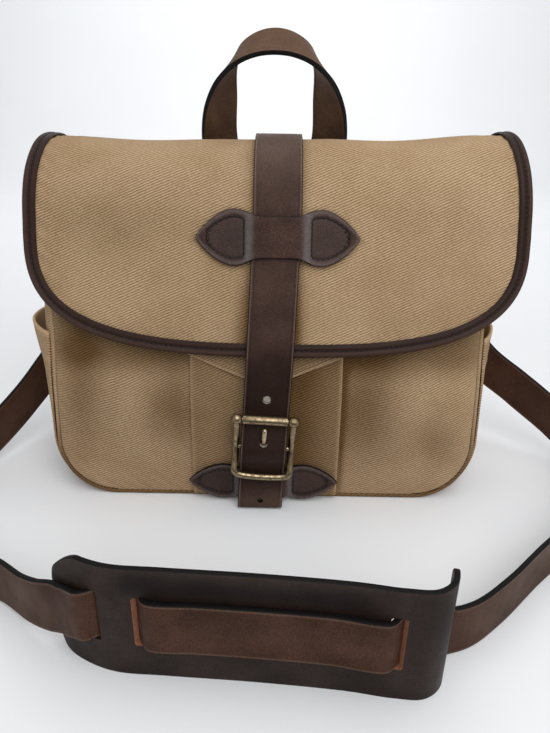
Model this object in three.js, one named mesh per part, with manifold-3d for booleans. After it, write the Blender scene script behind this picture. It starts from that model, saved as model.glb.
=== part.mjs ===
// Canvas field bag with leather straps, in millimetres.
// X runs to the right, -Y towards the front, Z up; the floor is Z = 0 and the bag stands on its bottom.
import * as THREE from "three";
import Module from "manifold-3d";

const wasm = await Module();
wasm.setup();

// Cloth and leather thicknesses
const CANVAS = 2.0;
const POCKET_CANVAS = 1.8;
const PLEAT_CANVAS = 1.2;
const FLAP_CANVAS = 2.2;
const STRAP_LEATHER = 3.2;
const KEEPER_LEATHER = 2.2;
const BINDING_LEATHER = 1.1;
const CHAPE_LEATHER = 1.6;
const HANDLE_LEATHER = 4.0;
const PAD_LEATHER = 3.0;
const GAP = 0.3; // air left between neighbours

// Body
const HALF_WIDTH = 155; // of the gusset at its seams
const CORNER_RADIUS = 44;
const BODY_TOP = 218;
const PIPING_RADIUS = 1.6;
const PANEL_INSET = 2 * PIPING_RADIUS + 2 * GAP;
const FRONT_PILLOW = 12; // how soon a wall rounds off at its seam
const BACK_SWELL = 3;

// Straps
const STRAP_WIDTH = 32.5;
const HANDLE_SHIFT = 2.5; // the top of the bag leans to the right
const FLAP_SHIFT = 5.7;

// Flap
const FLAP_HALF_WIDTH = 168.2;
const FLAP_ROUNDNESS = 2.9; // power of the curve of its lower edge
const BINDING_REACH = 6.2; // from the edge of the canvas inwards
const BINDING_ROLL = 2.0; // and outwards
const BINDING_OFF = 0.7; // air between binding and canvas

// Seams of the gusset and how far its left and right sides bulge, by height
const SEAMS = [
  { z: 0, front: -68, back: 50, left: 0, right: 0 },
  { z: 14, front: -66.5, back: 50, left: 3, right: 2 },
  { z: 44, front: -61.5, back: 50, left: 9, right: 6 },
  { z: 84, front: -54, back: 49, left: 13.5, right: 8 },
  { z: 118, front: -45.5, back: 47.5, left: 15.5, right: 8 },
  { z: 175, front: -35.5, back: 43.5, left: 10, right: 8 },
  { z: 232, front: -25, back: 38, left: 3, right: 3 },
];

// How far the middle of the front wall stands before its seam
const FRONT_SWELL = [
  { z: 0, swell: 2 },
  { z: 20, swell: 4.5 },
  { z: 44, swell: 8.3 },
  { z: 84, swell: 13 },
  { z: 150, swell: 12 },
  { z: 232, swell: 6 },
];

// Dents (positive) and ridges (negative) of the front wall
const FRONT_DENTS = [
  { x: -122, z: 88, rx: 14, rz: 36, deep: 5 },
  { x: -97, z: 70, rx: 15, rz: 42, deep: -2.5 },
  { x: -70, z: 66, rx: 12, rz: 40, deep: 4.5 },
  { x: 70, z: 58, rx: 13, rz: 40, deep: 4.5 },
  { x: 98, z: 72, rx: 20, rz: 40, deep: -2.5 },
  { x: 122, z: 46, rx: 14, rz: 20, deep: 4 },
];

// Middle line of the flap's inner face, from its hem on the back over the top to its lower edge
const FLAP_LINE = [
  { y: 46.2, z: 200 },
  { y: 44.6, z: 222 },
  { y: 37, z: 238 },
  { y: 19, z: 246.5 },
  { y: 1, z: 248 },
  { y: -15, z: 244 },
  { y: -29, z: 232.5 },
  { y: -39.5, z: 214 },
  { y: -46, z: 194 },
  { y: -53.5, z: 170 },
  { y: -62, z: 143 },
  { y: -68.8, z: 118 },
];
const FLAP_WIDEST_Z = 193; // below this height its sides round off

// Half-width of the flap from its hinge to its widest place, as a share of the widest
const FLAP_WIDTHS = [
  { at: 0, share: 0.93 },
  { at: 0.2, share: 0.945 },
  { at: 0.5, share: 0.965 },
  { at: 0.8, share: 0.99 },
  { at: 1, share: 1 },
];
const FLAP_WRAP = 5; // how far its front corners turn back round the body
const FLAP_LIFT = 3; // how much its top rises towards the sides
const FLAP_TILT = 2.8; // and how much more on the right than in the middle

// Closure strap below the flap, through the buckle, as the middle of its thickness
const STRAP_DROP = [
  { y: -77.6, z: 107 },
  { y: -79.4, z: 92 },
  { y: -80.6, z: 75 },
  { y: -82.9, z: 66 },
  { y: -85.7, z: 58 },
  { y: -87.7, z: 51 },
  { y: -87.2, z: 44 },
  { y: -84.9, z: 38 },
  { y: -83.6, z: 31.5 },
  { y: -83.8, z: 22 },
  { y: -84.4, z: 12 },
  { y: -85.0, z: 2.5 },
];
const STRAP_X = [
  { z: 0, x: -3.6 },
  { z: 51, x: -1.2 },
  { z: 118, x: 2.4 },
  { z: 196, x: 5.4 },
  { z: 252, x: 6 },
];
const STRAP_HOLES = [
  { z: 88.5, radius: 3.0 },
  { z: 57.6, radius: 2.8 },
  { z: 8, radius: 2.0 },
];

// Pointed oval of the keeper and of the buckle patch: half its height along its length
const OVAL = [
  { x: 0, half: 13 },
  { x: 14, half: 13.4 },
  { x: 24, half: 17.2 },
  { x: 32, half: 17.6 },
  { x: 42, half: 13 },
  { x: 50, half: 6 },
  { x: 54, half: 0.8 },
];
const KEEPER = { x: 6.4, z: 192, tall: 1 };
const PATCH = { x: -1.4, z: 18, tall: 0.8 };

// Buckle
const BUCKLE_X = -1.2;
const BUCKLE_HALF_WIDTH = 19.6; // to the middle of its side rods
const BUCKLE_LEAN = 3; // degrees, with the strap
const ROD = 2.4; // rod radius
const ROLLER = { y: -86, z: 75, radius: 3.3, bore: 2.0, half: 15.6 };
const ROLLER_BAR = 1.6;
const CENTRE_BAR = { y: -82, z: 51, radius: 1.8 };
const BOTTOM_BAR = { y: -88, z: 31.5 };
const EAR_RADIUS = 3.6;
const PRONG_RADIUS = 1.3;
const PRONG_LINE = [
  { y: -81.2, z: 47.6 },
  { y: -79.2, z: 49.2 },
  { y: -78.8, z: 51.6 },
  { y: -80.2, z: 54.0 },
  { y: -83.2, z: 56.2 },
  { y: -87.0, z: 58.6 },
  { y: -88.8, z: 62.4 },
  { y: -89.2, z: 68.4 },
];
const CHAPE_HALF_WIDTH = 11.4;
const CHAPE_LINE = [
  { y: -76.2, z: 9 },
  { y: -76.2, z: 26 },
  { y: -76.6, z: 37 },
  { y: -78.6, z: 47 },
  { y: -79.1, z: 51 },
  { y: -79.9, z: 53.1 },
  { y: -82, z: 53.95 },
  { y: -84.1, z: 53.1 },
  { y: -84.9, z: 51 },
  { y: -84.2, z: 47.5 },
  { y: -81.4, z: 41 },
  { y: -79, z: 34 },
  { y: -78.3, z: 26 },
  { y: -78.3, z: 9 },
];

// Handle: its front rim and its back rim, from the left end to the crown
const HANDLE = [
  { fx: -54, fy: 51.4, fz: 192, bx: -22, by: 51.4, bz: 192 },
  { fx: -54, fy: 50.8, fz: 214, bx: -22, by: 51.6, bz: 214 },
  { fx: -54.5, fy: 47.5, fz: 234, bx: -26, by: 57, bz: 232 },
  { fx: -54.5, fy: 40.5, fz: 251, bx: -30, by: 60, bz: 250 },
  { fx: -51, fy: 36, fz: 270, bx: -30, by: 60.5, bz: 276 },
  { fx: -42, fy: 34.5, fz: 287, bx: -30, by: 60.5, bz: 297.5 },
  { fx: -28, fy: 34, fz: 299, bx: -25.5, by: 60.5, bz: 311 },
  { fx: -14, fy: 34, fz: 304.5, bx: -14, by: 60.5, bz: 319.5 },
  { fx: 0, fy: 34, fz: 306, bx: 0, by: 60.5, bz: 322.5 },
];

// Side pockets
const POCKET_MOUTH_Z = 119.5;
const POCKET_FOOT_Z = 18;
const POCKET_GAPE = { left: 9, right: 7.5 };
const POCKET_EDGE = 0.96; // how near its sewn sides come to the seams
const POCKET_OFF = 0.8; // air between pocket and gusset at its sewn sides

// Pleat and pointed flap of the front pocket
const PLEAT_HALF_WIDTH = 53;
const PLEAT_TOP = 126;
const PLEAT_FOLD = 13; // cloth turned under at each side
const PLEAT_SECTION = [
  { in: PLEAT_FOLD, lift: 0.95 },
  { in: 2.0, lift: 0.95 },
  { in: 0.2, lift: 2.05 },
  { in: 2.0, lift: 3.15 },
  { in: PLEAT_FOLD, lift: 3.25 },
];
const POINT_FLAP = { half: 62, top: 134, side: 119, point: 95, lift: 4.6, thick: 1.6 };

// Shoulder pad: the line of its lower edge on the floor, left to right
const PAD_HEIGHT = 72;
const PAD_LINE = [
  { x: -111.5, y: -201.5 },
  { x: -105, y: -210.5 },
  { x: -93, y: -218.8 },
  { x: -76, y: -225.2 },
  { x: -48, y: -227.4 },
  { x: 0, y: -230.4 },
  { x: 46, y: -234.7 },
  { x: 70, y: -238.4 },
  { x: 85, y: -238.6 },
  { x: 94, y: -232 },
  { x: 98.2, y: -218.3 },
];
// Its rounded corners, each a quarter of an oval; a power below 2 cuts the corner straighter
const PAD_CORNERS = {
  left: { top: { long: 28, tall: 32, power: 1.4 }, foot: { long: 18, tall: 18, power: 2 } },
  right: { top: { long: 8, tall: 10, power: 2 }, foot: { long: 14, tall: 15, power: 2 } },
};
const PAD_SLOTS = [-85, -59, 67.8];
const PAD_SLOT_WIDTH = 8;
const PAD_SLOT_HEIGHT = 36;
const STRAP_ON_PAD = 38; // height of the strap's middle on the pad

// Shoulder strap: where its ends are sewn on the back, then its middle line to the pad and from it
const STRAP_SEWN = [
  { x: 113, z: 192 },
  { x: 118, z: 174 },
];
const STRAP_LEFT = [
  { x: -129, y: 52.6, z: 149 },
  { x: -149, y: 57, z: 113 },
  { x: -173, y: 46, z: 79 },
  { x: -192, y: 26, z: 55 },
  { x: -208, y: -6, z: 36 },
  { x: -222, y: -40, z: 24 },
  { x: -236, y: -78, z: 17.5 },
  { x: -240, y: -114, z: 16.6 },
  { x: -216, y: -148, z: 16.6 },
  { x: -184, y: -169, z: 16.6 },
  { x: -156, y: -179, z: 18 },
  { x: -131, y: -198, z: 22 },
  { x: -118, y: -207, z: 26.5 },
];
const STRAP_RIGHT = [
  { x: 78, y: -230, z: 35 },
  { x: 88, y: -220, z: 27 },
  { x: 96, y: -213.6, z: 20 },
  { x: 104, y: -211, z: 17 },
  { x: 118, y: -205.5, z: 16.6 },
  { x: 141, y: -188, z: 16.6 },
  { x: 172, y: -159, z: 16.6 },
  { x: 208, y: -127, z: 16.6 },
  { x: 240, y: -92, z: 16.6 },
  { x: 253, y: -50, z: 21 },
  { x: 237, y: -6, z: 36 },
  { x: 212, y: 18, z: 53 },
  { x: 186, y: 38, z: 70 },
  { x: 154, y: 57, z: 108 },
  { x: 131, y: 52.6, z: 147 },
];
// Along the pad's X: the strap before (-1) or behind (1) the pad, and how far it hangs lower there
const STRAP_WEAVE = [
  { x: -105, side: -1, drop: 6.5 },
  { x: -97, side: -1, drop: 2.5 },
  { x: -88.5, side: -1, drop: 0 },
  { x: -85, side: 0, drop: 0 },
  { x: -81.5, side: 1, drop: 0 },
  { x: -62.3, side: 1, drop: 0 },
  { x: -58.8, side: 0, drop: 0 },
  { x: -55.3, side: -1, drop: 0 },
  { x: -30, side: -1, drop: 0 },
  { x: 0, side: -1, drop: 0 },
  { x: 36, side: -1, drop: 0 },
  { x: 64, side: -1, drop: 0 },
  { x: 67.5, side: 0, drop: 0 },
  { x: 71, side: 1, drop: 0 },
];

// Small helpers
const vec = (x, y, z) => new THREE.Vector3(x, y, z);
const clamp = (x, low, high) => Math.min(Math.max(x, low), high);
const mix = (a, b, t) => a + (b - a) * t;
const steps = (from, to, count) =>
  Array.from({ length: count + 1 }, (_, i) => mix(from, to, i / count));
const ease = (from, to, x) => {
  const t = clamp((x - from) / (to - from), 0, 1);
  return t * t * (3 - 2 * t);
};

// Smooth curve through one column of a table, read by another column that rises
function column(table, by, key) {
  const last = table.length - 1;
  const slope = (i) => {
    const a = table[Math.max(i - 1, 0)];
    const b = table[Math.min(i + 1, last)];
    return (b[key] - a[key]) / (b[by] - a[by]);
  };
  return (at) => {
    let i = 0;
    while (i < last - 1 && at > table[i + 1][by]) i++;
    const span = table[i + 1][by] - table[i][by];
    const t = clamp((at - table[i][by]) / span, 0, 1);
    const bend = t * (1 - t) * span;
    const pull = slope(i) * (1 - t) - slope(i + 1) * t;
    const rise = (table[i + 1][key] - table[i][key]) * (bend / span) * (1 - 2 * t);
    return mix(table[i][key], table[i + 1][key], t) + bend * pull - rise;
  };
}

// Curve through points of a table
function curveOf(points) {
  return new THREE.CatmullRomCurve3(points, false, "centripetal");
}

// Closed body from cross-section rings; a ring runs out along one face and back along the other
function loft(rings, loop = false) {
  const count = rings[0].length;
  const at = (ring, i) => (ring % rings.length) * count + ((i + count) % count);
  const index = [];
  const spans = loop ? rings.length : rings.length - 1;
  for (let ring = 0; ring < spans; ring++) {
    for (let i = 0; i < count; i++) {
      index.push(at(ring, i), at(ring + 1, i), at(ring + 1, i + 1));
      index.push(at(ring, i), at(ring + 1, i + 1), at(ring, i + 1));
    }
  }
  const end = rings.length - 1;
  for (let i = 0; !loop && i < count / 2 - 1; i++) {
    const [a, b, c, d] = [i, i + 1, count - 2 - i, count - 1 - i];
    index.push(at(0, a), at(0, b), at(0, c), at(0, a), at(0, c), at(0, d));
    index.push(at(end, a), at(end, c), at(end, b), at(end, a), at(end, d), at(end, c));
  }
  const geometry = new THREE.BufferGeometry().setFromPoints(rings.flat());
  geometry.setIndex(index);
  return outward(geometry);
}

// The same body with its faces turned outward
function outward(geometry) {
  const p = geometry.getAttribute("position");
  const corner = (i) => new THREE.Vector3().fromBufferAttribute(p, i);
  const index = [...geometry.index.array];
  let volume = 0;
  for (let i = 0; i < index.length; i += 3) {
    const [a, b, c] = [corner(index[i]), corner(index[i + 1]), corner(index[i + 2])];
    volume += a.dot(b.cross(c));
  }
  return volume < 0 ? geometry.setIndex(index.reverse()) : geometry;
}

// Sheet of even thickness between face(along, across) and that face lifted along its normal
function sheet(alongs, acrosses, thickness, face) {
  const rings = alongs.map((s) => {
    const low = acrosses.map((t) => face(s, t, 0));
    const high = acrosses.map((t) => face(s, t, thickness));
    return [...low, ...high.reverse()];
  });
  return loft(rings);
}

// Ring of a bent strip in its own plane: points with {a, b}, thickness across
function stripRing(line, thickness, place) {
  const side = (sign) =>
    line.map((p, i) => {
      const before = line[Math.max(i - 1, 0)];
      const after = line[Math.min(i + 1, line.length - 1)];
      const length = Math.hypot(after.a - before.a, after.b - before.b);
      const na = (-(after.b - before.b) / length) * sign * (thickness / 2);
      const nb = ((after.a - before.a) / length) * sign * (thickness / 2);
      return place(p.a + na, p.b + nb);
    });
  return [...side(1), ...side(-1).reverse()];
}

// Round rod along a curve
function rod(curve, radius, stations, sides = 10, ends = 1) {
  const rings = steps(0, 1, stations).map((u) => {
    const middle = curve.getPointAt(u);
    const along = curve.getTangentAt(u);
    const level = Math.abs(along.x) > 0.9 ? vec(0, 0, 1) : vec(1, 0, 0);
    const out = level.cross(along).normalize();
    const up = along.clone().cross(out);
    const tip = u === 0 || u === 1 ? ends : 1;
    return steps(0, 2 * Math.PI, sides)
      .slice(0, sides)
      .map((turn) =>
        middle
          .clone()
          .addScaledVector(out, tip * radius * Math.cos(turn))
          .addScaledVector(up, tip * radius * Math.sin(turn)),
      );
  });
  return loft(rings);
}

// Ball about a centre, flattened a little at its two ends
function ball(centre, radius) {
  const rings = steps(0.06, Math.PI - 0.06, 6).map((tilt) =>
    steps(0, 2 * Math.PI, 10)
      .slice(0, 10)
      .map((turn) => {
        const round = radius * Math.sin(tilt);
        return vec(radius * Math.cos(tilt), round * Math.cos(turn), round * Math.sin(turn)).add(centre);
      }),
  );
  return loft(rings);
}

// Cutting and joining
function toSolid(geometry) {
  return new wasm.Manifold(
    new wasm.Mesh({
      numProp: 3,
      vertProperties: new Float32Array(geometry.getAttribute("position").array),
      triVerts: new Uint32Array(geometry.index.array),
    }),
  );
}

function fromSolid(solid) {
  const mesh = solid.getMesh();
  const geometry = new THREE.BufferGeometry();
  geometry.setAttribute("position", new THREE.BufferAttribute(mesh.vertProperties, 3));
  geometry.setIndex(new THREE.BufferAttribute(mesh.triVerts, 1));
  return geometry;
}

// Block between two corners, then turned and moved
function block(size, centre, turnZ = 0) {
  const half = size.clone().multiplyScalar(0.5);
  const corner = (x, y, z) => vec(x * half.x, y * half.y, z * half.z);
  const face = (x) => [corner(x, -1, -1), corner(x, 1, -1), corner(x, 1, 1), corner(x, -1, 1)];
  const geometry = loft([face(-1), face(1)]);
  return geometry.rotateZ(turnZ).translate(centre.x, centre.y, centre.z);
}

// Body surfaces
const seamFront = column(SEAMS, "z", "front");
const seamBack = column(SEAMS, "z", "back");
const leftBulge = column(SEAMS, "z", "left");
const rightBulge = column(SEAMS, "z", "right");
const frontSwell = column(FRONT_SWELL, "z", "swell");

// How far a place on a wall lies inside the outline of the body
function insideOutline(x, z) {
  const side = Math.abs(x) - (HALF_WIDTH - CORNER_RADIUS);
  const under = CORNER_RADIUS - z;
  const round = Math.hypot(Math.max(side, 0), Math.max(under, 0));
  return CORNER_RADIUS - round - Math.min(Math.max(side, under), 0);
}

function pillow(x, z) {
  const inside = Math.max(insideOutline(x, z) - PANEL_INSET, 0);
  return Math.sqrt(1 - Math.exp(-inside / FRONT_PILLOW));
}

function frontY(x, z) {
  const dents = FRONT_DENTS.reduce((sum, dent) => {
    const dx = (x - dent.x) / dent.rx;
    const dz = (z - dent.z) / dent.rz;
    return sum + dent.deep * Math.exp(-dx * dx - dz * dz);
  }, 0);
  return seamFront(z) - 1 + (dents - frontSwell(z)) * pillow(x, z);
}

function backY(x, z) {
  return seamBack(z) + 1 + BACK_SWELL * pillow(x, z);
}

// Half-width of the body's outline at a height, drawn in by an inset
function outlineHalf(z, inset) {
  const under = clamp(CORNER_RADIUS - z, 0, CORNER_RADIUS - inset);
  const round = Math.sqrt((CORNER_RADIUS - inset) ** 2 - under ** 2);
  return HALF_WIDTH - CORNER_RADIUS + round;
}

// Heights that follow the round corner, then the straight side
function wallHeights(inset, cornerRows, sideRows, top) {
  const radius = CORNER_RADIUS - inset;
  const corner = steps(0, Math.PI / 2, cornerRows).map((a) => CORNER_RADIUS - radius * Math.cos(a));
  return [...corner, ...steps(CORNER_RADIUS, top, sideRows).slice(1)];
}

// The U of the gusset: place and outward direction, t = 0 at the left top, 1 at the right top
function gussetLine(t, inset) {
  const radius = CORNER_RADIUS - inset;
  const side = BODY_TOP - CORNER_RADIUS;
  const arc = (CORNER_RADIUS * Math.PI) / 2;
  const flat = HALF_WIDTH - CORNER_RADIUS;
  const half = side + arc + flat;
  const sign = t < 0.5 ? -1 : 1;
  const run = half * (1 - Math.abs(2 * t - 1));
  if (run <= side) {
    return { x: sign * (HALF_WIDTH - inset), z: BODY_TOP - run, nx: sign, nz: 0 };
  }
  if (run <= side + arc) {
    const turn = (run - side) / CORNER_RADIUS;
    const [nx, nz] = [sign * Math.cos(turn), -Math.sin(turn)];
    return { x: sign * flat + nx * radius, z: CORNER_RADIUS + nz * radius, nx, nz };
  }
  return { x: sign * (half - run), z: inset, nx: 0, nz: -1 };
}

// The share of the U at which the left side reaches a height
function gussetShare(z) {
  const side = BODY_TOP - CORNER_RADIUS;
  const arc = (CORNER_RADIUS * Math.PI) / 2;
  const half = side + arc + HALF_WIDTH - CORNER_RADIUS;
  const under = clamp((CORNER_RADIUS - z) / CORNER_RADIUS, 0, 1);
  const run = z >= CORNER_RADIUS ? BODY_TOP - z : side + CORNER_RADIUS * Math.asin(under);
  return run / half / 2;
}

// Stations of the U: close together round the corners
function gussetStations(sideRows, cornerRows, flatRows) {
  const cornerTop = gussetShare(CORNER_RADIUS);
  const cornerFoot = gussetShare(0);
  const left = [
    ...steps(0, cornerTop, sideRows).slice(0, -1),
    ...steps(cornerTop, cornerFoot, cornerRows).slice(0, -1),
    ...steps(cornerFoot, 0.5, flatRows),
  ];
  return [...left, ...left.slice(0, -1).reverse().map((t) => 1 - t)];
}

// Face of the gusset, `out` beyond its inner side; across runs from the front seam to the back seam
function gussetFace(t, across, out) {
  const line = gussetLine(t, CANVAS);
  const clear = PIPING_RADIUS + GAP;
  const front = seamFront(line.z) + clear;
  const back = seamBack(line.z) - clear;
  const bulge = t < 0.5 ? leftBulge : rightBulge;
  const swell = bulge(line.z) * Math.pow(1 - across * across, 0.8);
  const y = mix(front, back, (across + 1) / 2);
  return vec(line.x + line.nx * (swell + out), y, line.z + line.nz * out);
}

// Wall panel: columns across the width, rows up the height
function wall(face, columns, heights, thickness, sign) {
  return sheet(heights, steps(-1, 1, columns), thickness, (z, across, lift) => {
    const x = across * outlineHalf(z, PANEL_INSET);
    return vec(x, face(x, z) - sign * (thickness - lift), z);
  });
}

const panelHeights = wallHeights(PANEL_INSET, 7, 9, BODY_TOP);
const frontPanel = wall(frontY, 20, panelHeights, CANVAS, -1);
const backHeights = wallHeights(PANEL_INSET, 5, 5, BODY_TOP);
const backPanel = wall(backY, 10, backHeights, CANVAS, 1);
const GUSSET_ACROSS = [-1, -POCKET_EDGE, -0.78, -0.42, 0, 0.42, 0.78, POCKET_EDGE, 1];
const GUSSET_STATIONS = gussetStations(7, 6, 1);
const gusset = sheet(GUSSET_STATIONS, GUSSET_ACROSS, CANVAS, gussetFace);

// Piping in a seam
function piping(seam) {
  const turns = steps(0, 2 * Math.PI, 6).slice(0, 6);
  const rings = gussetStations(5, 6, 1).map((t) => {
    const line = gussetLine(clamp(t, 0.006, 0.994), PIPING_RADIUS);
    return turns.map((turn) => {
      const out = PIPING_RADIUS * Math.cos(turn);
      const y = seam(line.z) + PIPING_RADIUS * Math.sin(turn);
      return vec(line.x + line.nx * out, y, line.z + line.nz * out);
    });
  });
  return loft(rings);
}

// Side pocket: lies on the gusset, its mouth standing off
function sidePocket(side) {
  const top = gussetShare(POCKET_MOUTH_Z);
  const foot = gussetShare(POCKET_FOOT_Z);
  const between = GUSSET_STATIONS.filter((t) => t > top + 0.004 && t < foot - 0.004);
  const acrosses = GUSSET_ACROSS.slice(1, -1);
  return sheet([top, ...between, foot], acrosses, POCKET_CANVAS, (share, across, lift) => {
    const height = (foot - share) / (foot - top);
    const gape = POCKET_GAPE[side] * Math.pow(height, 3) * (1 - Math.pow(across / POCKET_EDGE, 2));
    const t = side === "right" ? 1 - share : share;
    return gussetFace(t, across, CANVAS + POCKET_OFF + gape + lift);
  });
}

// A place on the front wall, lifted off it
const onFront = (x, z, lift) => vec(x, frontY(x, z) - lift, z);

// Pleat of the front pocket
function pleat() {
  const left = PLEAT_SECTION.map((p) => ({ a: p.in - PLEAT_HALF_WIDTH, b: p.lift }));
  const middle = [-0.4, 0, 0.4].map((share) => ({ a: share * PLEAT_HALF_WIDTH, b: 3.3 }));
  const right = left.map((p) => ({ a: -p.a, b: p.b })).reverse();
  const section = [...left, ...middle, ...right];
  const rows = [...panelHeights.slice(1).filter((z) => z < PLEAT_TOP - 4), PLEAT_TOP];
  return loft(rows.map((z) => stripRing(section, PLEAT_CANVAS, (x, lift) => onFront(x, z, lift))));
}

// Small flap that ends in a point
function pointFlap() {
  const { half, top, side, point, lift, thick } = POINT_FLAP;
  const foot = (share) => mix(point, side, Math.pow(Math.abs(share), 1.15));
  return sheet(steps(0, 1, 4), steps(-1, 1, 12), thick, (down, share, out) =>
    onFront(share * half, mix(top, foot(share), down), lift + out),
  );
}

// Flap
const flapLine = curveOf(FLAP_LINE.map((p) => vec(0, p.y, p.z)));
const flapLength = flapLine.getLength();
const flapWidest = shareAtHeight(flapLine, FLAP_WIDEST_Z);
const flapWidth = column(FLAP_WIDTHS, "at", "share");

// The later share of a curve at which it comes down to a height
function shareAtHeight(curve, z) {
  let low = 0.5;
  let high = 1;
  for (let i = 0; i < 40; i++) {
    const middle = (low + high) / 2;
    if (curve.getPointAt(middle).z > z) low = middle;
    else high = middle;
  }
  return low;
}

// A place on the flap: share of its length, distance from its middle line, height off its inner face
function onFlap(share, aside, lift) {
  const u = clamp(share, 0, 1);
  const place = flapLine.getPointAt(u);
  const normal = flapLine.getTangentAt(u).cross(vec(1, 0, 0)).normalize();
  const reach = Math.abs(aside) / FLAP_HALF_WIDTH;
  const wrap = FLAP_WRAP * ease(0.45, 0.75, u) * reach ** 3;
  const lean = FLAP_LIFT * reach ** 2 + (FLAP_TILT * aside) / FLAP_HALF_WIDTH;
  const rise = lean * Math.exp(-(((u - 0.3) / 0.16) ** 2));
  const shift = FLAP_SHIFT * ease(0, 0.3, u);
  return place.addScaledVector(normal, lift).add(vec(shift + aside, wrap, rise));
}

function flapEnd(across) {
  const power = FLAP_ROUNDNESS;
  const down = Math.pow(Math.max(1 - Math.pow(Math.abs(across), power), 0), 1 / power);
  return mix(flapWidest, 1, down);
}

function flapHalf(share) {
  return FLAP_HALF_WIDTH * flapWidth(clamp(share / flapWidest, 0, 1));
}

// Columns across the flap, close together where its lower edge turns up
const FLAP_LAST_TURN = 1.5; // radians of that curve at which its straight side begins
const flapColumns = steps(-1, 1, 20).map((u) => {
  const turn = FLAP_LAST_TURN * Math.abs(u);
  return Math.sign(u) * Math.pow(Math.sin(turn), 2 / FLAP_ROUNDNESS);
});
// Rows down the flap: 0 to 1 is its straight-sided part, 1 to 2 its round lower part
const flapRows = [...steps(0, 1, 14), ...steps(1, 2, 4).slice(1)];
const BINDING_FROM_ROW = 3; // row at which the binding starts

// Share of the flap's length and distance from its middle at a row and a column
function flapPlace(down, across) {
  const upper = clamp(down, 0, 1) * flapWidest;
  const share = down <= 1 ? upper : mix(flapWidest, flapEnd(across), down - 1);
  return { share, aside: across * flapHalf(share) };
}

const flap = sheet(flapRows, flapColumns, FLAP_CANVAS, (down, across, lift) => {
  const { share, aside } = flapPlace(down, across);
  return onFlap(share, aside, lift);
});

// Leather binding folded round the free edge of the flap, from one hinge end to the other
function bindingEdge() {
  const sideRows = flapRows.slice(BINDING_FROM_ROW, -1);
  const left = sideRows.map((down) => flapPlace(down, flapColumns[0]));
  const lower = flapColumns.map((across) => flapPlace(2, across));
  const right = left.map((p) => ({ share: p.share, aside: -p.aside })).reverse();
  return [...left, ...lower, ...right];
}

function binding() {
  const edge = bindingEdge();
  const half = FLAP_CANVAS / 2;
  const off = half + BINDING_OFF + BINDING_LEATHER / 2;
  const section = [
    { a: -BINDING_REACH, b: off },
    { a: -1.4, b: off + 0.4 },
    { a: BINDING_ROLL - 0.6, b: off - 0.4 },
    { a: BINDING_ROLL - 0.6, b: -off + 0.4 },
    { a: -1.4, b: -off },
    { a: -BINDING_REACH, b: -off },
  ];
  const middle = edge.map((p) => onFlap(p.share, p.aside, half));
  return loft(
    edge.map((p, i) => {
      const before = middle[Math.max(i - 1, 0)];
      const after = middle[Math.min(i + 1, edge.length - 1)];
      const along = after.clone().sub(before).normalize();
      const up = onFlap(p.share, p.aside, 1).sub(onFlap(p.share, p.aside, 0));
      const out = along.clone().cross(up).normalize();
      const lift = out.clone().cross(along).normalize();
      const place = (a, b) => middle[i].clone().addScaledVector(out, a).addScaledVector(lift, b);
      return stripRing(section, BINDING_LEATHER, place);
    }),
  );
}

// Closure strap: over the flap, then down through the buckle
const strapX = column(STRAP_X, "z", "x");
const strapLift = FLAP_CANVAS + 2 * GAP + STRAP_LEATHER / 2;
const STRAP_OVER_BINDING = 2.4; // how much further off it passes over the binding
const STRAP_FROM = 0.02; // its end on the back, as a share of the flap's line
const FLAP_EDGE_Z = 119;
const STRAP_RISE_Z = 140; // where it begins to rise over the binding
function closureLine() {
  const edge = shareAtHeight(flapLine, FLAP_EDGE_Z);
  const rise = shareAtHeight(flapLine, STRAP_RISE_Z);
  const over = steps(STRAP_FROM, edge, 24).map((share) => {
    const p = onFlap(share, 0, strapLift + STRAP_OVER_BINDING * ease(rise, edge - 0.03, share));
    return vec(0, p.y, p.z);
  });
  return curveOf([...over, ...STRAP_DROP.map((p) => vec(0, p.y, p.z))]);
}

function closureStrap() {
  const line = closureLine();
  const half = STRAP_WIDTH / 2;
  const crest = STRAP_X[STRAP_X.length - 1].z;
  const strap = sheet(steps(0, 1, 64), [-1, 1], STRAP_LEATHER, (u, side, lift) => {
    const p = line.getPointAt(u);
    const normal = line.getTangentAt(u).cross(vec(1, 0, 0)).normalize();
    p.addScaledVector(normal, lift - STRAP_LEATHER / 2);
    const height = u < 0.5 ? crest : clamp(p.z, 0, crest);
    return vec(strapX(height) + side * half, p.y, p.z);
  });
  const drilled = STRAP_HOLES.reduce((solid, hole) => {
    const x = strapX(hole.z);
    const drill = curveOf([vec(x, -100, hole.z), vec(x, -70, hole.z)]);
    return solid.subtract(toSolid(rod(drill, hole.radius, 1, 12)));
  }, toSolid(strap));
  return fromSolid(drilled);
}

// Pointed oval of leather; hump(x) lifts its middle over what runs under it
const ovalHalf = column(OVAL, "x", "half");
function oval(place, hump, tall) {
  const rows = [-54, -50, -44, -38, -32, -27, -22.5, -18, -13.5, 0];
  const xs = [...rows, ...rows.slice(0, -1).reverse().map((x) => -x)];
  return sheet(xs, [-1, 0, 1], KEEPER_LEATHER, (x, across, lift) =>
    place(x, across * ovalHalf(Math.abs(x)) * tall, hump(Math.abs(x)) + lift),
  );
}

const keeperShare = shareAtHeight(flapLine, KEEPER.z);
const overStrap = FLAP_CANVAS + STRAP_LEATHER + 3 * GAP;
const keeperHump = (x) => mix(overStrap, FLAP_CANVAS + GAP, ease(18, 23, x));
const upperKeeper = oval(
  (x, up, lift) => onFlap(keeperShare - up / flapLength, KEEPER.x - FLAP_SHIFT + x, lift),
  keeperHump,
  KEEPER.tall,
);

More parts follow.
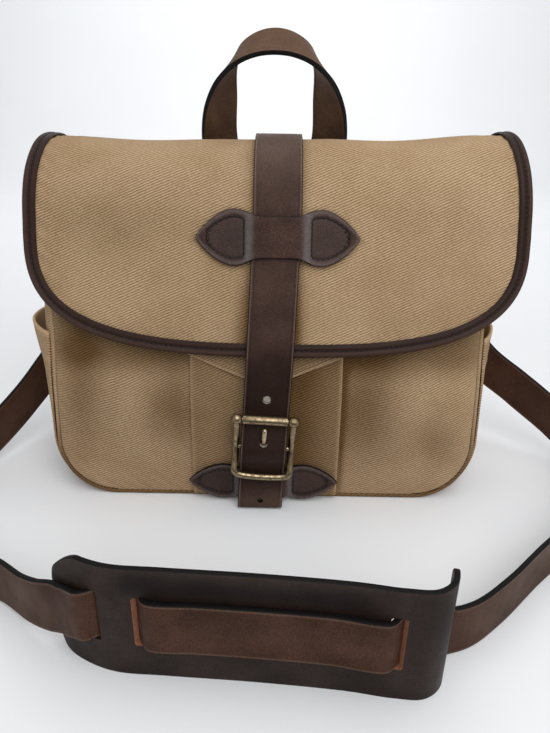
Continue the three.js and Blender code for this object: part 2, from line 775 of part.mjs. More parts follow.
// Height of the patch's inner face: on the pleat at its ends, over the chape in its middle
const PATCH_LOW = 4.7;
const PATCH_MIDDLE_Y = -79.4;
function patchPlace(x, up, lift) {
  const z = PATCH.z + up;
  const overChape = 1 - ease(13.5, 19, Math.abs(x));
  const low = frontY(PATCH.x + x, Math.max(z, 10)) - PATCH_LOW;
  return vec(PATCH.x + x, mix(low, PATCH_MIDDLE_Y, overChape) - lift, z);
}
const bucklePatch = oval(patchPlace, () => 0, PATCH.tall);

// Turns a piece of the buckle about its centre bar, to the strap's lean
function lean(geometry) {
  const middle = vec(BUCKLE_X, 0, CENTRE_BAR.z);
  geometry.translate(-middle.x, 0, -middle.z).rotateY(THREE.MathUtils.degToRad(BUCKLE_LEAN));
  return geometry.translate(middle.x, 0, middle.z);
}

// Folded leather that holds the buckle, slotted for the prong
function chape() {
  const line = CHAPE_LINE.map((p) => ({ a: p.y, b: p.z }));
  const ring = (x) => stripRing(line, CHAPE_LEATHER, (y, z) => vec(BUCKLE_X + x, y, z));
  const leather = toSolid(loft([ring(-CHAPE_HALF_WIDTH), ring(CHAPE_HALF_WIDTH)]));
  const slot = block(vec(4, 12, 17), vec(BUCKLE_X, -81, 50));
  return fromSolid(leather.subtract(toSolid(slot)));
}

// Buckle: bent frame, bar in its middle, round ears on its upper corners
function buckleFrame() {
  const half = BUCKLE_HALF_WIDTH;
  const sideLine = (sign) => {
    const x = BUCKLE_X + sign * half;
    const belly = (CENTRE_BAR.y + BOTTOM_BAR.y) / 2;
    return [
      vec(x, ROLLER.y, ROLLER.z),
      vec(x, ROLLER.y + 1.6, 64),
      vec(x, CENTRE_BAR.y, CENTRE_BAR.z),
      vec(x, belly, 41),
      vec(x, BOTTOM_BAR.y, BOTTOM_BAR.z + 2.5),
      vec(x - sign * 2.5, BOTTOM_BAR.y, BOTTOM_BAR.z),
    ];
  };
  const outer = curveOf([...sideLine(-1), ...sideLine(1).reverse()]);
  const bar = (y, z, radius) =>
    toSolid(rod(curveOf([vec(BUCKLE_X - half, y, z), vec(BUCKLE_X + half, y, z)]), radius, 1, 12));
  const ears = [-1, 1].map((sign) =>
    toSolid(ball(vec(BUCKLE_X + sign * half, ROLLER.y, ROLLER.z), EAR_RADIUS)),
  );
  const pieces = [
    bar(ROLLER.y, ROLLER.z, ROLLER_BAR),
    bar(CENTRE_BAR.y, CENTRE_BAR.z, CENTRE_BAR.radius),
    ...ears,
  ];
  return fromSolid(pieces.reduce((all, piece) => all.add(piece), toSolid(rod(outer, ROD, 28, 8))));
}

// Roller: tube on the upper bar
function roller() {
  const ring = (x, radius) =>
    steps(0, 2 * Math.PI, 16)
      .slice(0, 16)
      .map((turn) => vec(x, ROLLER.y + radius * Math.cos(turn), ROLLER.z + radius * Math.sin(turn)));
  const left = BUCKLE_X - ROLLER.half;
  const right = BUCKLE_X + ROLLER.half;
  const rings = [
    ring(left, ROLLER.bore),
    ring(left, ROLLER.radius),
    ring(right, ROLLER.radius),
    ring(right, ROLLER.bore),
  ];
  return loft(rings, true);
}

const prongCurve = curveOf(PRONG_LINE.map((p) => vec(BUCKLE_X, p.y, p.z)));

// Handle: ruled between its two rims
function handle() {
  const mirrored = HANDLE.slice(0, -1).reverse().map((p) => ({ ...p, fx: -p.fx, bx: -p.bx }));
  const whole = [...HANDLE, ...mirrored];
  const fore = curveOf(whole.map((p) => vec(p.fx + HANDLE_SHIFT, p.fy, p.fz)));
  const rear = curveOf(whole.map((p) => vec(p.bx + HANDLE_SHIFT, p.by, p.bz)));
  const middle = (u, across) => fore.getPoint(u).lerp(rear.getPoint(u), (across + 1) / 2);
  return sheet(steps(0, 1, 40), [-1, 0, 1], HANDLE_LEATHER, (u, across, lift) => {
    const along = middle(Math.min(u + 0.004, 1), across).sub(middle(Math.max(u - 0.004, 0), across));
    const width = rear.getPoint(u).sub(fore.getPoint(u));
    const normal = along.cross(width).normalize();
    return middle(u, across).addScaledVector(normal, lift - HANDLE_LEATHER / 2);
  });
}

// Shoulder pad
const padCurve = curveOf(PAD_LINE.map((p) => vec(p.x, p.y, 0)));

// Share of the pad's line at which it passes an X
function padShare(x) {
  let low = 0;
  let high = 1;
  for (let i = 0; i < 40; i++) {
    const middle = (low + high) / 2;
    if (padCurve.getPointAt(middle).x < x) low = middle;
    else high = middle;
  }
  return low;
}

// A place on the pad: share of its length, height, distance behind its middle
function onPad(share, height, behind) {
  const place = padCurve.getPointAt(share);
  const normal = vec(0, 0, 1).cross(padCurve.getTangentAt(share)).normalize();
  return place.addScaledVector(normal, behind).setZ(height);
}

// How much of the pad's height a corner takes away at a share of its length
function padTrim(share, edge) {
  const corner = PAD_CORNERS[share < 0.5 ? "left" : "right"][edge];
  const fromEnd = Math.min(share, 1 - share) * padCurve.getLength();
  const short = clamp(1 - fromEnd / corner.long, 0, 1);
  return corner.tall * (1 - Math.pow(1 - Math.pow(short, corner.power), 1 / corner.power));
}

function pad() {
  const end = steps(0, 1, 10).map((u) => 0.24 * u ** 1.5);
  const middle = steps(0.24, 0.76, 8).slice(1, -1);
  const shares = [...end, ...middle, ...end.map((u) => 1 - u).reverse()];
  const leather = sheet(shares, [0, 0.5, 1], PAD_LEATHER, (share, up, lift) => {
    const height = mix(padTrim(share, "foot"), PAD_HEIGHT - padTrim(share, "top"), up);
    return onPad(share, height, lift - PAD_LEATHER / 2);
  });
  const cut = PAD_SLOTS.reduce((solid, x) => {
    const share = padShare(x);
    const along = padCurve.getTangentAt(share);
    const size = vec(PAD_SLOT_WIDTH, 4 * PAD_LEATHER, PAD_SLOT_HEIGHT);
    const slot = block(size, onPad(share, STRAP_ON_PAD, 0), Math.atan2(along.y, along.x));
    return solid.subtract(toSolid(slot));
  }, toSolid(leather));
  return fromSolid(cut);
}

// Shoulder strap: one ribbon, on edge where it lies on the floor
function shoulderStrap() {
  const offPad = PAD_LEATHER / 2 + 3 * GAP + STRAP_LEATHER / 2;
  const woven = STRAP_WEAVE.map((p) => onPad(padShare(p.x), STRAP_ON_PAD - p.drop, p.side * offPad));
  const points = (table) => table.map((p) => vec(p.x, p.y, p.z));
  const sewn = (side) =>
    STRAP_SEWN.map((p) => vec(side * p.x, backY(p.x, p.z) + GAP + STRAP_LEATHER / 2, p.z));
  const loose = [...points(STRAP_LEFT), ...woven, ...points(STRAP_RIGHT)];
  const route = [...sewn(-1), ...loose, ...sewn(1).reverse()];
  const line = curveOf(route);
  return sheet(steps(0, 1, 3 * (route.length - 1)), [-1, 1], STRAP_LEATHER, (u, side, lift) => {
    const along = line.getTangent(u);
    const onEdge = ease(0.02, 0.09, Math.min(u, 1 - u));
    const edge = vec((u < 0.5 ? -1 : 1) * (1 - onEdge), 0, onEdge);
    const width = edge.addScaledVector(along, -edge.dot(along)).normalize();
    const normal = along.clone().cross(width);
    const middle = line.getPoint(u).addScaledVector(normal, lift - STRAP_LEATHER / 2);
    return middle.addScaledVector(width, (side * STRAP_WIDTH) / 2);
  });
}

// Materials and nodes
const canvas = new THREE.MeshStandardMaterial({ color: 0xa3855f, roughness: 0.95 });
const leather = new THREE.MeshStandardMaterial({ color: 0x4a3128, roughness: 0.55 });
const brass = new THREE.MeshStandardMaterial({ color: 0x8d7440, roughness: 0.4, metalness: 1 });

const bag = new THREE.Group();
function add(name, geometry, material) {
  const mesh = new THREE.Mesh(geometry, material);
  mesh.name = name;
  bag.add(mesh);
}

add("front_panel", frontPanel, canvas);
add("back_panel", backPanel, canvas);
add("gusset", gusset, canvas);
add("front_piping", piping(seamFront), canvas);
add("back_piping", piping(seamBack), canvas);
add("pocket_pleat", pleat(), canvas);
add("pocket_flap", pointFlap(), canvas);
add("side_pocket_left", sidePocket("left"), canvas);
add("side_pocket_right", sidePocket("right"), canvas);
add("flap", flap, canvas);
add("flap_binding", binding(), leather);
add("closure_strap", closureStrap(), leather);
add("upper_keeper", upperKeeper, leather);
add("buckle_patch", bucklePatch, leather);
add("buckle_chape", lean(chape()), leather);
add("handle", handle(), leather);
add("shoulder_pad", pad(), leather);
add("shoulder_strap", shoulderStrap(), leather);
add("buckle_frame", lean(buckleFrame()), brass);
add("buckle_roller", lean(roller()), brass);
add("buckle_prong", lean(rod(prongCurve, PRONG_RADIUS, 12, 8, 0.6)), brass);

export default bag;
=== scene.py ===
"""Canvas field bag with leather straps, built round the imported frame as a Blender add-on."""

import math
from collections import namedtuple

import bpy
import numpy as np
from bpy.props import FloatProperty, FloatVectorProperty, PointerProperty
from mathutils import Matrix, Vector


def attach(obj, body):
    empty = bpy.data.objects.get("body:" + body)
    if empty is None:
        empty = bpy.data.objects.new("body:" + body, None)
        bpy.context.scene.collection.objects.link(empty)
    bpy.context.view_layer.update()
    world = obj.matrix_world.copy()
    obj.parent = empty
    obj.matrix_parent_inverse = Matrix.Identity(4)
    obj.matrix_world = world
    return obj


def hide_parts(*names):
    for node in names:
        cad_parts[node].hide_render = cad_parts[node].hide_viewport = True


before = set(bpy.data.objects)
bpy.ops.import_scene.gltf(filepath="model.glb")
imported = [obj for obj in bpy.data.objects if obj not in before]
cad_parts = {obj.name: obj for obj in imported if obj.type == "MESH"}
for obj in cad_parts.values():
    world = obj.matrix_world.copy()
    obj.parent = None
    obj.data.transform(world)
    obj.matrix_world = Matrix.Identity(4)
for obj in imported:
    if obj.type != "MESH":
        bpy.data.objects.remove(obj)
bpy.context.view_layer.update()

bl_info = {
    "name": "Field bag",
    "version": (1, 0, 0),
    "blender": (4, 5, 0),
    "location": "3D View > Sidebar > Field bag",
    "description": "Builds a canvas field bag with leather straps on its packed frame",
    "category": "Add Mesh",
}

BODY = "root"
MM = 0.001  # the tables below are in millimetres


def table(**columns):
    """Short table of named columns, as arrays."""
    return {name: np.array(values, float) for name, values in columns.items()}


# Body
HALF_WIDTH = 155.0
CORNER_RADIUS = 44.0
BODY_TOP = 218.0
PIPING_RADIUS = 1.6
GAP = 0.3
PIPING_ENDS = (0.006, 0.994)  # shares of the gusset's line at which the piping starts and stops
PANEL_INSET = 2 * PIPING_RADIUS + 2 * GAP
WALL_ROWS = (28, 90)  # rows of a wall's grid in its round corner and up its side
GUSSET_SPREAD = 55.0  # half the width of the gusset and of its pockets on the UV map
PILLOW = 12.0
BACK_SWELL = 3.0
SEAMS = table(
    z=[0, 14, 44, 84, 118, 175, 232],
    front=[-68, -66.5, -61.5, -54, -45.5, -35.5, -25],
    back=[50, 50, 50, 49, 47.5, 43.5, 38],
    left=[0, 3, 9, 13.5, 15.5, 10, 3],
    right=[0, 2, 6, 8, 8, 8, 3],
)
FRONT_SWELL = table(z=[0, 20, 44, 84, 150, 232], swell=[2, 4.5, 8.3, 13, 12, 6])
# Dents of the front wall, ridges below 0, and its patches of soil and painted shade: middles, radii and
# heights of oval bells
FRONT_DENTS = table(
    x=[-122, -97, -70, 70, 98, 122],
    z=[88, 70, 66, 58, 72, 46],
    rx=[14, 15, 12, 13, 20, 14],
    rz=[36, 42, 40, 40, 40, 20],
    deep=[5, -2.5, 4.5, 4.5, -2.5, 4],
)
FRONT_DIRT_AND_SHADE = table(
    x=[-132, -66, 66, 124, 108],
    z=[85, 70, 72, 42, 10],
    rx=[16, 24, 30, 14, 20],
    rz=[45, 34, 50, 18, 12],
    dark=[0.64, 0.6, 0.7, 0.33, 0.02],
)

# Flap
FLAP_HALF_WIDTH = 168.2
FLAP_ROUNDNESS = 2.9
FLAP_WIDEST_Z = 193.0
FLAP_SHIFT = 5.7
FLAP_WRAP = 5.0
FLAP_LIFT, FLAP_TILT = 3.0, 2.8
FLAP_LAST_TURN = 1.5
BINDING_FROM = 3 / 14
FLAP_LINE = table(
    y=[46.2, 44.6, 37, 19, 1, -15, -29, -39.5, -46, -53.5, -62, -68.8],
    z=[200, 222, 238, 246.5, 248, 244, 232.5, 214, 194, 170, 143, 118],
)
FLAP_WIDTHS = table(at=[0, 0.2, 0.5, 0.8, 1], share=[0.93, 0.945, 0.965, 0.99, 1])
FLAP_TURN = (0.45, 0.75)  # shares of its length between which its front corners turn back
FLAP_CREST, FLAP_CREST_SPREAD = 0.3, 0.16  # share of its length at its crest, and how far the crest spreads
# Binding's section, from the canvas side of its upper flange round the edge to the lower flange:
# distance out from the flap's edge and height off the middle of the canvas
BINDING_SECTION = table(
    out=[-6.2, -5.2, -3.9, -2.7, -2.0, -1.3, 0, 1.3, 2.0, 1.5, 0.2, -1.6, -6.2],
    lift=[2.05, 2.5, 2.6, 2.35, 2.05, 2.5, 3.0, 2.4, 0.3, -1.7, -2.5, -2.5, -2.35],
)
BINDING_GROOVE = (-2.05, 2.75)  # where its stitches lie

# Closure strap, as the middle of its thickness
STRAP_FROM = 0.02
FLAP_EDGE_Z = 119.0
STRAP_RISE_Z = 140.0
STRAP_OVER_BINDING = 2.4
STRAP_SIDE = 16.5  # distance aside at which the flap comes out from under the strap
STRAP_DROP = table(
    y=[-77.6, -79.4, -80.6, -82.9, -85.7, -87.7, -87.2, -84.9, -83.6, -83.8, -84.4, -85],
    z=[107, 92, 75, 66, 58, 51, 44, 38, 31.5, 22, 12, 2.5],
)
STRAP_X = table(z=[0, 51, 118, 196, 252], x=[-3.6, -1.2, 2.4, 5.4, 6])
STRAP_HOLES = table(z=[88.5, 57.6, 8], radius=[3.0, 2.8, 2.0])
HOLE_FINISHES = ("pale_fibre", "pale_fibre", "strap_leather")
PUNCH_REACH = (-100.0, -70.0)  # the punch goes from this Y to that one
FIBRE_DEPTH = (0.2, 0.9)  # where the fibre lies behind the strap's middle
FIBRE_SHARE = 0.93  # its share of the hole's radius
FIBRE_FACES = (-0.9, 1.4)  # how far its disc may swell to the front and to the back
STRAP_RIM = {"square": 3.5, "edge": 0.5}  # how a strap's rim rounds off

# Pointed oval of the keeper and of the buckle patch: half its height along its length
OVAL = table(x=[0, 14, 24, 32, 42, 50, 54], half=[13, 13.4, 17.2, 17.6, 13, 6, 0.8])
OVAL_END = OVAL["x"][-1]
KEEPER_X, KEEPER_Z = 6.4, 192.0
KEEPER_HUMP = (17.5, 23.5)  # distances aside between which the keeper comes down off the strap
KEEPER_RIM = {"square": 3, "edge": 0.6}
PATCH_X, PATCH_Z, PATCH_TALL = -1.4, 18.0, 0.8
PATCH_LOW, PATCH_MIDDLE_Y = 4.7, -79.4
PATCH_HUMP = (13.5, 19.0)  # and the patch off the chape
PATCH_FLAT_Z = 10.0  # below this height the patch hangs straight down
LOBE_FROM = 22.0  # the lobes' stitches start this far from the middle
LOBE_INSET = 4.2  # they run this far inside the edge
LOBE_TIP = OVAL_END - 1.6 * LOBE_INSET  # and end here
LOBE_DISH = 0.45  # how deep the lobes and their stitch lines are pressed in

# Buckle
BUCKLE_X = -1.2
BUCKLE_HALF_WIDTH = 19.6
BUCKLE_LEAN = math.radians(3.0)
ROD = 2.4
ROLLER_Y, ROLLER_Z, ROLLER_RADIUS, ROLLER_BORE, ROLLER_HALF = -86.0, 75.0, 3.3, 2.0, 15.6
ROLLER_BAR, ROLLER_LIP = 1.6, 0.5
CENTRE_Y, CENTRE_Z, CENTRE_BAR = -82.0, 51.0, 1.8
SHOULDER_Y, SHOULDER_Z = -84.4, 64.0
BELLY_Z = 41.0
BOTTOM_Y, BOTTOM_Z = -88.0, 31.5
BUCKLE_CORNER = 2.5
EAR_RADIUS, EAR_HALF = 3.6, 0.4
PRONG_RADIUS = 1.3
PRONG_SWELL = 1.3  # how much thicker the prong is towards its tip
PRONG_LINE = table(
    y=[-81.2, -79.2, -78.8, -80.2, -83.2, -87, -88.8, -89.2],
    z=[47.6, 49.2, 51.6, 54, 56.2, 58.6, 62.4, 68.4],
)
CHAPE_HALF_WIDTH = 11.4
CHAPE_LINE = table(
    y=[-76.2, -76.2, -76.6, -78.6, -79.1, -79.9, -82, -84.1, -84.9, -84.2, -81.4, -79, -78.3, -78.3],
    z=[9, 26, 37, 47, 51, 53.1, 53.95, 53.1, 51, 47.5, 41, 34, 26, 9],
)
SLIT_Z, SLIT_RADIUS, SLIT_STRETCH = 50.0, 2.0, 6.5  # the prong's slit in the chape
SLIT_REACH = (-90.0, -72.0)

# Handle: its front rim and its back rim, from the left end to the crown
HANDLE_SHIFT = 2.5
HANDLE_SPREAD = 28.0  # width of the handle on its UV map
HANDLE = table(
    fx=[-54, -54, -54.5, -54.5, -51, -42, -28, -14, 0],
    fy=[51.4, 50.8, 47.5, 40.5, 36, 34.5, 34, 34, 34],
    fz=[192, 214, 234, 251, 270, 287, 299, 304.5, 306],
    bx=[-22, -22, -26, -30, -30, -30, -25.5, -14, 0],
    by=[51.4, 51.6, 57, 60, 60.5, 60.5, 60.5, 60.5, 60.5],
    bz=[192, 214, 232, 250, 276, 297.5, 311, 319.5, 322.5],
)

# Pockets
POCKET_MOUTH_Z = 119.5
POCKET_FOOT_Z = 18.0
POCKET_GAPE = {"left": 9.0, "right": 7.5}
POCKET_EDGE = 0.96  # how near the pocket's sides come to the seams
POCKET_HEM = 0.19  # share of the pocket's height that its hem takes
POCKET_THIN, HEM_SWELL = 0.8, 0.45  # thickness of the pocket's cloth and what its hem adds to it
HEM_ROWS = (0.55, 0.95)  # where the hem's two rows of stitches lie in it
HEM_TOP = 1.12  # height of the hem's outer side, in thicknesses of the cloth
POCKET_OFF = 0.8
POCKET_DROP = 100.0  # height of a pocket on the UV map
PLEAT_HALF_WIDTH = 53.0
PLEAT_TOP = 126.0
PLEAT_FOLD = 13.0
PLEAT_UNDER, PLEAT_OVER = 0.95, 3.15
POINT_HALF, POINT_TOP, POINT_SIDE, POINT_TIP, POINT_LIFT = 62.0, 134.0, 119.0, 95.0, 4.6
POINT_SWEEP = 1.15  # power by which the point's edge falls to its tip
POINT_ROW = 0.86  # where the row of stitches lies on it, from its top edge down

# Shoulder pad: the line of its lower edge on the floor
PAD_HEIGHT = 72.0
PAD_LINE = table(
    x=[-111.5, -105, -93, -76, -48, 0, 46, 70, 85, 94, 98.2],
    y=[-201.5, -210.5, -218.8, -225.2, -227.4, -230.4, -234.7, -238.4, -238.6, -232, -218.3],
)
# Its rounded corners at the left end and at the right end, as quarters of an oval of some power
PAD_TOP = table(long=[28, 8], tall=[32, 10], power=[1.4, 2])
PAD_FOOT = table(long=[18, 14], tall=[18, 15], power=[2, 2])
PAD_RIM = 0.5  # how far the pad's rim rounds off, in halves of its thickness
PAD_SLOTS = [-85, -59, 67.8]
PAD_SLOT_WIDTH = 8.0
PAD_SLOT_ROUND = 0.4  # share of its half width that rounds off
PAD_SLOT_TALL = 34.0
PAD_SLOT_LOW = 0.6  # how much lower the left inner slot lies
PAD_SLOT_SHORT = 0.8  # how much its half height is less than that of the others
PAD_SLOT_CUT = 3.0  # how far the cutter of a slot reaches beyond its own round faces
PAD_SLOT_BEVEL = 1.8  # how much of the cut shows on the outer side of an inner slot
PAD_SLOT_BACK = 0.17  # how far back the bevel starts, in thicknesses of the pad
STRAP_ON_PAD = 38.0

# Shoulder strap: its sewn ends on the back, its middle line to the pad and from it, its weave in the pad
STRAP_SEWN = table(x=[113, 118], z=[192, 174])
STRAP_TURN = (0.02, 0.09)  # shares of its length between which it turns upright from a sewn end
STRAP_STEPS = 14  # rows of its grid from point to point
STRAP_LEFT = table(
    x=[-129, -149, -173, -192, -208, -222, -236, -240, -216, -184, -156, -131, -118],
    y=[52.6, 57, 46, 26, -6, -40, -78, -114, -148, -169, -179, -198, -207],
    z=[149, 113, 79, 55, 36, 24, 17.5, 16.6, 16.6, 16.6, 18, 22, 26.5],
)
STRAP_RIGHT = table(
    x=[78, 88, 96, 104, 118, 141, 172, 208, 240, 253, 237, 212, 186, 154, 131],
    y=[-230, -220, -213.6, -211, -205.5, -188, -159, -127, -92, -50, -6, 18, 38, 57, 52.6],
    z=[35, 27, 20, 17, 16.6, 16.6, 16.6, 16.6, 16.6, 21, 36, 53, 70, 108, 147],
)
STRAP_WEAVE = table(
    x=[-105, -97, -88.5, -85, -81.5, -62.3, -58.8, -55.3, -30, 0, 36, 64, 67.5, 71],
    side=[-1, -1, -1, 0, 1, 1, 0, -1, -1, -1, -1, -1, 0, 1],
    drop=[6.5, 2.5] + 12 * [0],
)

# Camera, fitted to the picture's perspective
CAMERA_PLACE = (6 * MM, -459 * MM, 286 * MM)
CAMERA_PITCH, CAMERA_ROLL = math.radians(65.5), math.radians(1.0)
CAMERA_SENSOR = 36.0
FOCAL_PIXELS, PICTURE_PIXELS = 620, 733  # focal length and height of the picture
CAMERA_LENS = CAMERA_SENSOR * FOCAL_PIXELS / PICTURE_PIXELS

# Lights: place, target and width in metres, power in watts
LIGHTS = {
    "overhead": ((0.1, 0.1, 1.35), (0.0, -0.05, 0.0), 1.2, 5.5),
    "front_fill": ((0.35, -1.2, 1.25), (0.0, 0.0, 0.1), 1.3, 16.0),
    "backdrop": ((0.0, 1.0, 1.6), (0.0, 2.3, 0.9), 1.6, 17.0),
}
AIR_COLOUR, AIR_STRENGTH = (0.95, 0.98, 1.0, 1), 0.47

# Finishes
TWILL_SLOPE = math.radians(24.0)
DIRT_AND_SHADE_TINT = (0.30, 0.235, 0.155, 1)  # what soil and painted shade leave of the canvas's colour
# Leathers: colours of the ground, its clouds, its rubbed tops and painted highlights, and its rim;
# roughness; grain to a metre
LEATHERS = {
    "strap_leather": ("leather", "leather_light", "leather_worn", "edge", 0.5, 900.0),
    "shoulder_leather": ("slung", "slung_light", "slung_worn", "edge", 0.55, 900.0),
    "keeper_leather": ("leather", "leather_light", "leather_gloss", "edge", 0.42, 700.0),
    "binding_leather": ("leather", "leather", "leather_worn", "leather", 0.42, 800.0),
    "pad_leather": ("pad", "pad_light", "pad_worn", "edge", 0.5, 900.0),
    "handle_leather": ("handle", "handle_light", "handle_worn", "edge", 0.55, 900.0),
}

# Stitches
STITCH_FILL = 0.78  # share of a stitch's pitch that its thread shows
LOBE_THREAD, HEM_THREAD, POINT_THREAD = 1.7, 0.6, 0.5  # thickness against the thread of the binding
BOX_PITCH = 3.2
# Sewn boxes on the back: shift outwards and up from the leather's end, half width and half height
STRAP_BOX = (1.5, -9.0, 11.5, 7.0)
HANDLE_BOX = (0.0, 9.0, 11.0, 6.5)


# Small array helpers


def mix(a, b, t):
    """Straight blend from a to b."""
    return a + (b - a) * t


def ease(low, high, x):
    """Smooth step from 0 at low to 1 at high."""
    t = np.clip((x - low) / (high - low), 0, 1)
    return t * t * (3 - 2 * t)


def bump(x, width):
    """Gaussian bell of height 1."""
    return np.exp(-((x / width) ** 2))


def unit(v):
    """Vectors scaled to length 1."""
    return v / np.maximum(np.linalg.norm(v, axis=-1, keepdims=True), 1e-12)


def stack(x, y, z):
    """Points from their coordinates, spread to one shape."""
    return np.stack(np.broadcast_arrays(x, y, z), axis=-1).astype(float)


def points_of(held, *keys):
    """Points from some columns of a table."""
    return np.stack([held[key] for key in keys], axis=1)


def flat_uv(u, v):
    """UV map in metres from two lengths in millimetres, spread to one shape."""
    return np.stack(np.broadcast_arrays(u, v), axis=-1).astype(float) * MM


def read(columns, by, key, at):
    """Smooth cubic through one column of a table, read by one that rises; slopes come from neighbours."""
    xs, ys = columns[by], columns[key]
    slopes = np.gradient(ys, xs)
    slopes[1:-1] = (ys[2:] - ys[:-2]) / (xs[2:] - xs[:-2])
    at = np.clip(at, xs[0], xs[-1])
    i = np.clip(np.searchsorted(xs, at) - 1, 0, len(xs) - 2)
    span = xs[i + 1] - xs[i]
    t = (at - xs[i]) / span
    pull = slopes[i] * (1 - t) - slopes[i + 1] * t
    rise = (ys[i + 1] - ys[i]) * (1 - 2 * t)
    return mix(ys[i], ys[i + 1], t) + t * (1 - t) * (span * pull - rise)


def curve(points, at):
    """Centripetal Catmull-Rom curve through points; at runs from 0 to 1, the same step for each stretch."""
    points = np.asarray(points, float)
    padded = np.vstack([2 * points[0] - points[1], points, 2 * points[-1] - points[-2]])
    where = np.clip(at, 0, 1) * (len(points) - 1)
    i = np.minimum(where.astype(int), len(points) - 2)
    t = (where - i)[:, None]
    p0, p1, p2, p3 = padded[i], padded[i + 1], padded[i + 2], padded[i + 3]
    pairs = ((p0, p1), (p1, p2), (p2, p3))
    d0, d1, d2 = (np.sqrt(np.linalg.norm(b - a, axis=1))[:, None] for a, b in pairs)
    m1 = d1 * ((p1 - p0) / d0 - (p2 - p0) / (d0 + d1) + (p2 - p1) / d1)
    m2 = d1 * ((p2 - p1) / d1 - (p3 - p1) / (d1 + d2) + (p3 - p2) / d2)
    squares = (3 * (p2 - p1) - 2 * m1 - m2) * t**2
    return p1 + m1 * t + squares + (2 * (p1 - p2) + m1 + m2) * t**3


def lengths(points):
    """Running length along a line of points."""
    return np.concatenate([[0], np.cumsum(np.linalg.norm(np.diff(points, axis=0), axis=1))])


def even(points, count):
    """The same line with evenly spaced points."""
    run = lengths(points)
    at = np.linspace(0, run[-1], count)
    return np.stack([np.interp(at, run, points[:, k]) for k in range(points.shape[1])], axis=1)


def smooth_line(points, count):
    """Curve through points, at evenly spaced places."""
    dense = curve(points, np.linspace(0, 1, 60 * len(points)))
    return even(dense, count)


def rim_columns(count):
    """Places across a strap from -1/2 to 1/2, closer together at its rims."""
    return 0.5 * np.sin(np.linspace(-np.pi / 2, np.pi / 2, count))


def bells(patches, height, x, z):
    """Sum of oval bells: each row of a table gives a middle, two radii and, in one column, a height."""
    rows = zip(*(patches[key] for key in ("x", "z", "rx", "rz", height)))
    return sum(tall * bump(x - cx, rx) * bump(z - cz, rz) for cx, cz, rx, rz, tall in rows)


def drift(x, y, wave, seed):
    """Slow random swell: a sum of eight sine waves of about one wavelength in seeded directions."""
    chance = np.random.default_rng(seed)
    turn = chance.uniform(0, 2 * np.pi, 8)
    pace = 2 * np.pi / (wave * chance.uniform(0.7, 1.5, 8))
    start = chance.uniform(0, 2 * np.pi, 8)
    x, y = np.asarray(x, float)[..., None], np.asarray(y, float)[..., None]
    return np.sin((x * np.cos(turn) + y * np.sin(turn)) * pace + start).sum(axis=-1) / 4


# Meshes from arrays

Shell = namedtuple("Shell", "points faces uv marks")


def quads(index):
    """Faces of a grid of point numbers, turned so that their normal is rows cross columns."""
    corners = [index[:-1, :-1], index[1:, :-1], index[1:, 1:], index[:-1, 1:]]
    return np.stack(corners, axis=-1).reshape(-1, 4)


def slab(middle, half, uv, square=2.0, edge=1.0, rounds=4, corner=0.15, **marks):
    """Closed sheet about a middle surface, given as a grid of points.

    Both faces stand half a thickness off the middle along its normal. Past its borders the sheet goes on as
    the half-oval |x / (edge half)|^k + |y / half|^k = 1 with k = square, so its rim is round or squarish.
    """
    count = middle.shape[:2]
    half = np.broadcast_to(np.asarray(half, float), count)
    along = unit(np.gradient(middle, axis=0))
    across = unit(np.gradient(middle, axis=1))
    turn = np.linspace(0, np.pi / 2, rounds + 1)[1:]
    reach = np.sin(turn) ** (2 / square)
    thin = np.append(np.cos(turn[:-1]) ** (2 / square), 0)
    row_step, column_step = (np.concatenate([-reach[::-1], np.zeros(n), reach]) for n in count)
    row_thin, column_thin = (np.concatenate([thin[::-1], np.ones(n), thin]) for n in count)
    grow = ((rounds, rounds), (rounds, rounds))
    half = np.pad(half, grow, mode="edge")
    middle, along, across = (np.pad(a, (*grow, (0, 0)), mode="edge") for a in (middle, along, across))
    normal = unit(np.cross(along, across))
    rim_out = (edge * half * np.maximum(row_thin, corner)[:, None] * column_step)[..., None]
    end_out = (edge * half * row_step[:, None])[..., None]
    middle = middle + along * end_out + across * rim_out
    lift = normal * (half * row_thin[:, None] * column_thin)[..., None]
    top = np.arange(middle.shape[0] * middle.shape[1]).reshape(middle.shape[:2])
    inner = np.zeros(top.shape, bool)
    inner[1:-1, 1:-1] = True
    under = top.copy()
    under[inner] = top.size + np.arange(inner.sum())
    points = np.concatenate([(middle + lift).reshape(-1, 3), (middle - lift)[inner]])
    uv = np.pad(uv, (*grow, (0, 0)), mode="edge").reshape(-1, 2)
    upper, lower = quads(top), quads(under)[:, ::-1]
    corners = np.concatenate([uv[upper], uv[quads(top)[:, ::-1]]])
    marks = {name: np.pad(np.broadcast_to(m, count), grow, mode="edge") for name, m in marks.items()}
    marks["rim"] = np.maximum(np.abs(row_step)[:, None], np.abs(column_step)[None, :])
    marks = {name: np.concatenate([m.reshape(-1), m[inner]]) for name, m in marks.items()}
    marks["under"] = np.concatenate([np.zeros(top.size), np.ones(inner.sum())])
    return Shell(points, np.concatenate([upper, lower]), corners, marks)


def rod(line, radius, level, sides=4):
    """Round rod with round ends: a slab whose middle surface has almost no width."""
    along = unit(np.gradient(line, axis=0))
    across = unit(np.cross(np.broadcast_to(level, line.shape), along))
    radius = np.asarray(radius, float).reshape(-1, 1)
    hair = 0.01 * radius
    middle = np.stack([line - across * hair, line + across * hair], axis=1)
    half = np.broadcast_to(radius, middle.shape[:2])
    uv = flat_uv(lengths(line)[:, None], np.array([0.0, 1.0]))
    return slab(middle, half, uv, rounds=sides, corner=0.03)


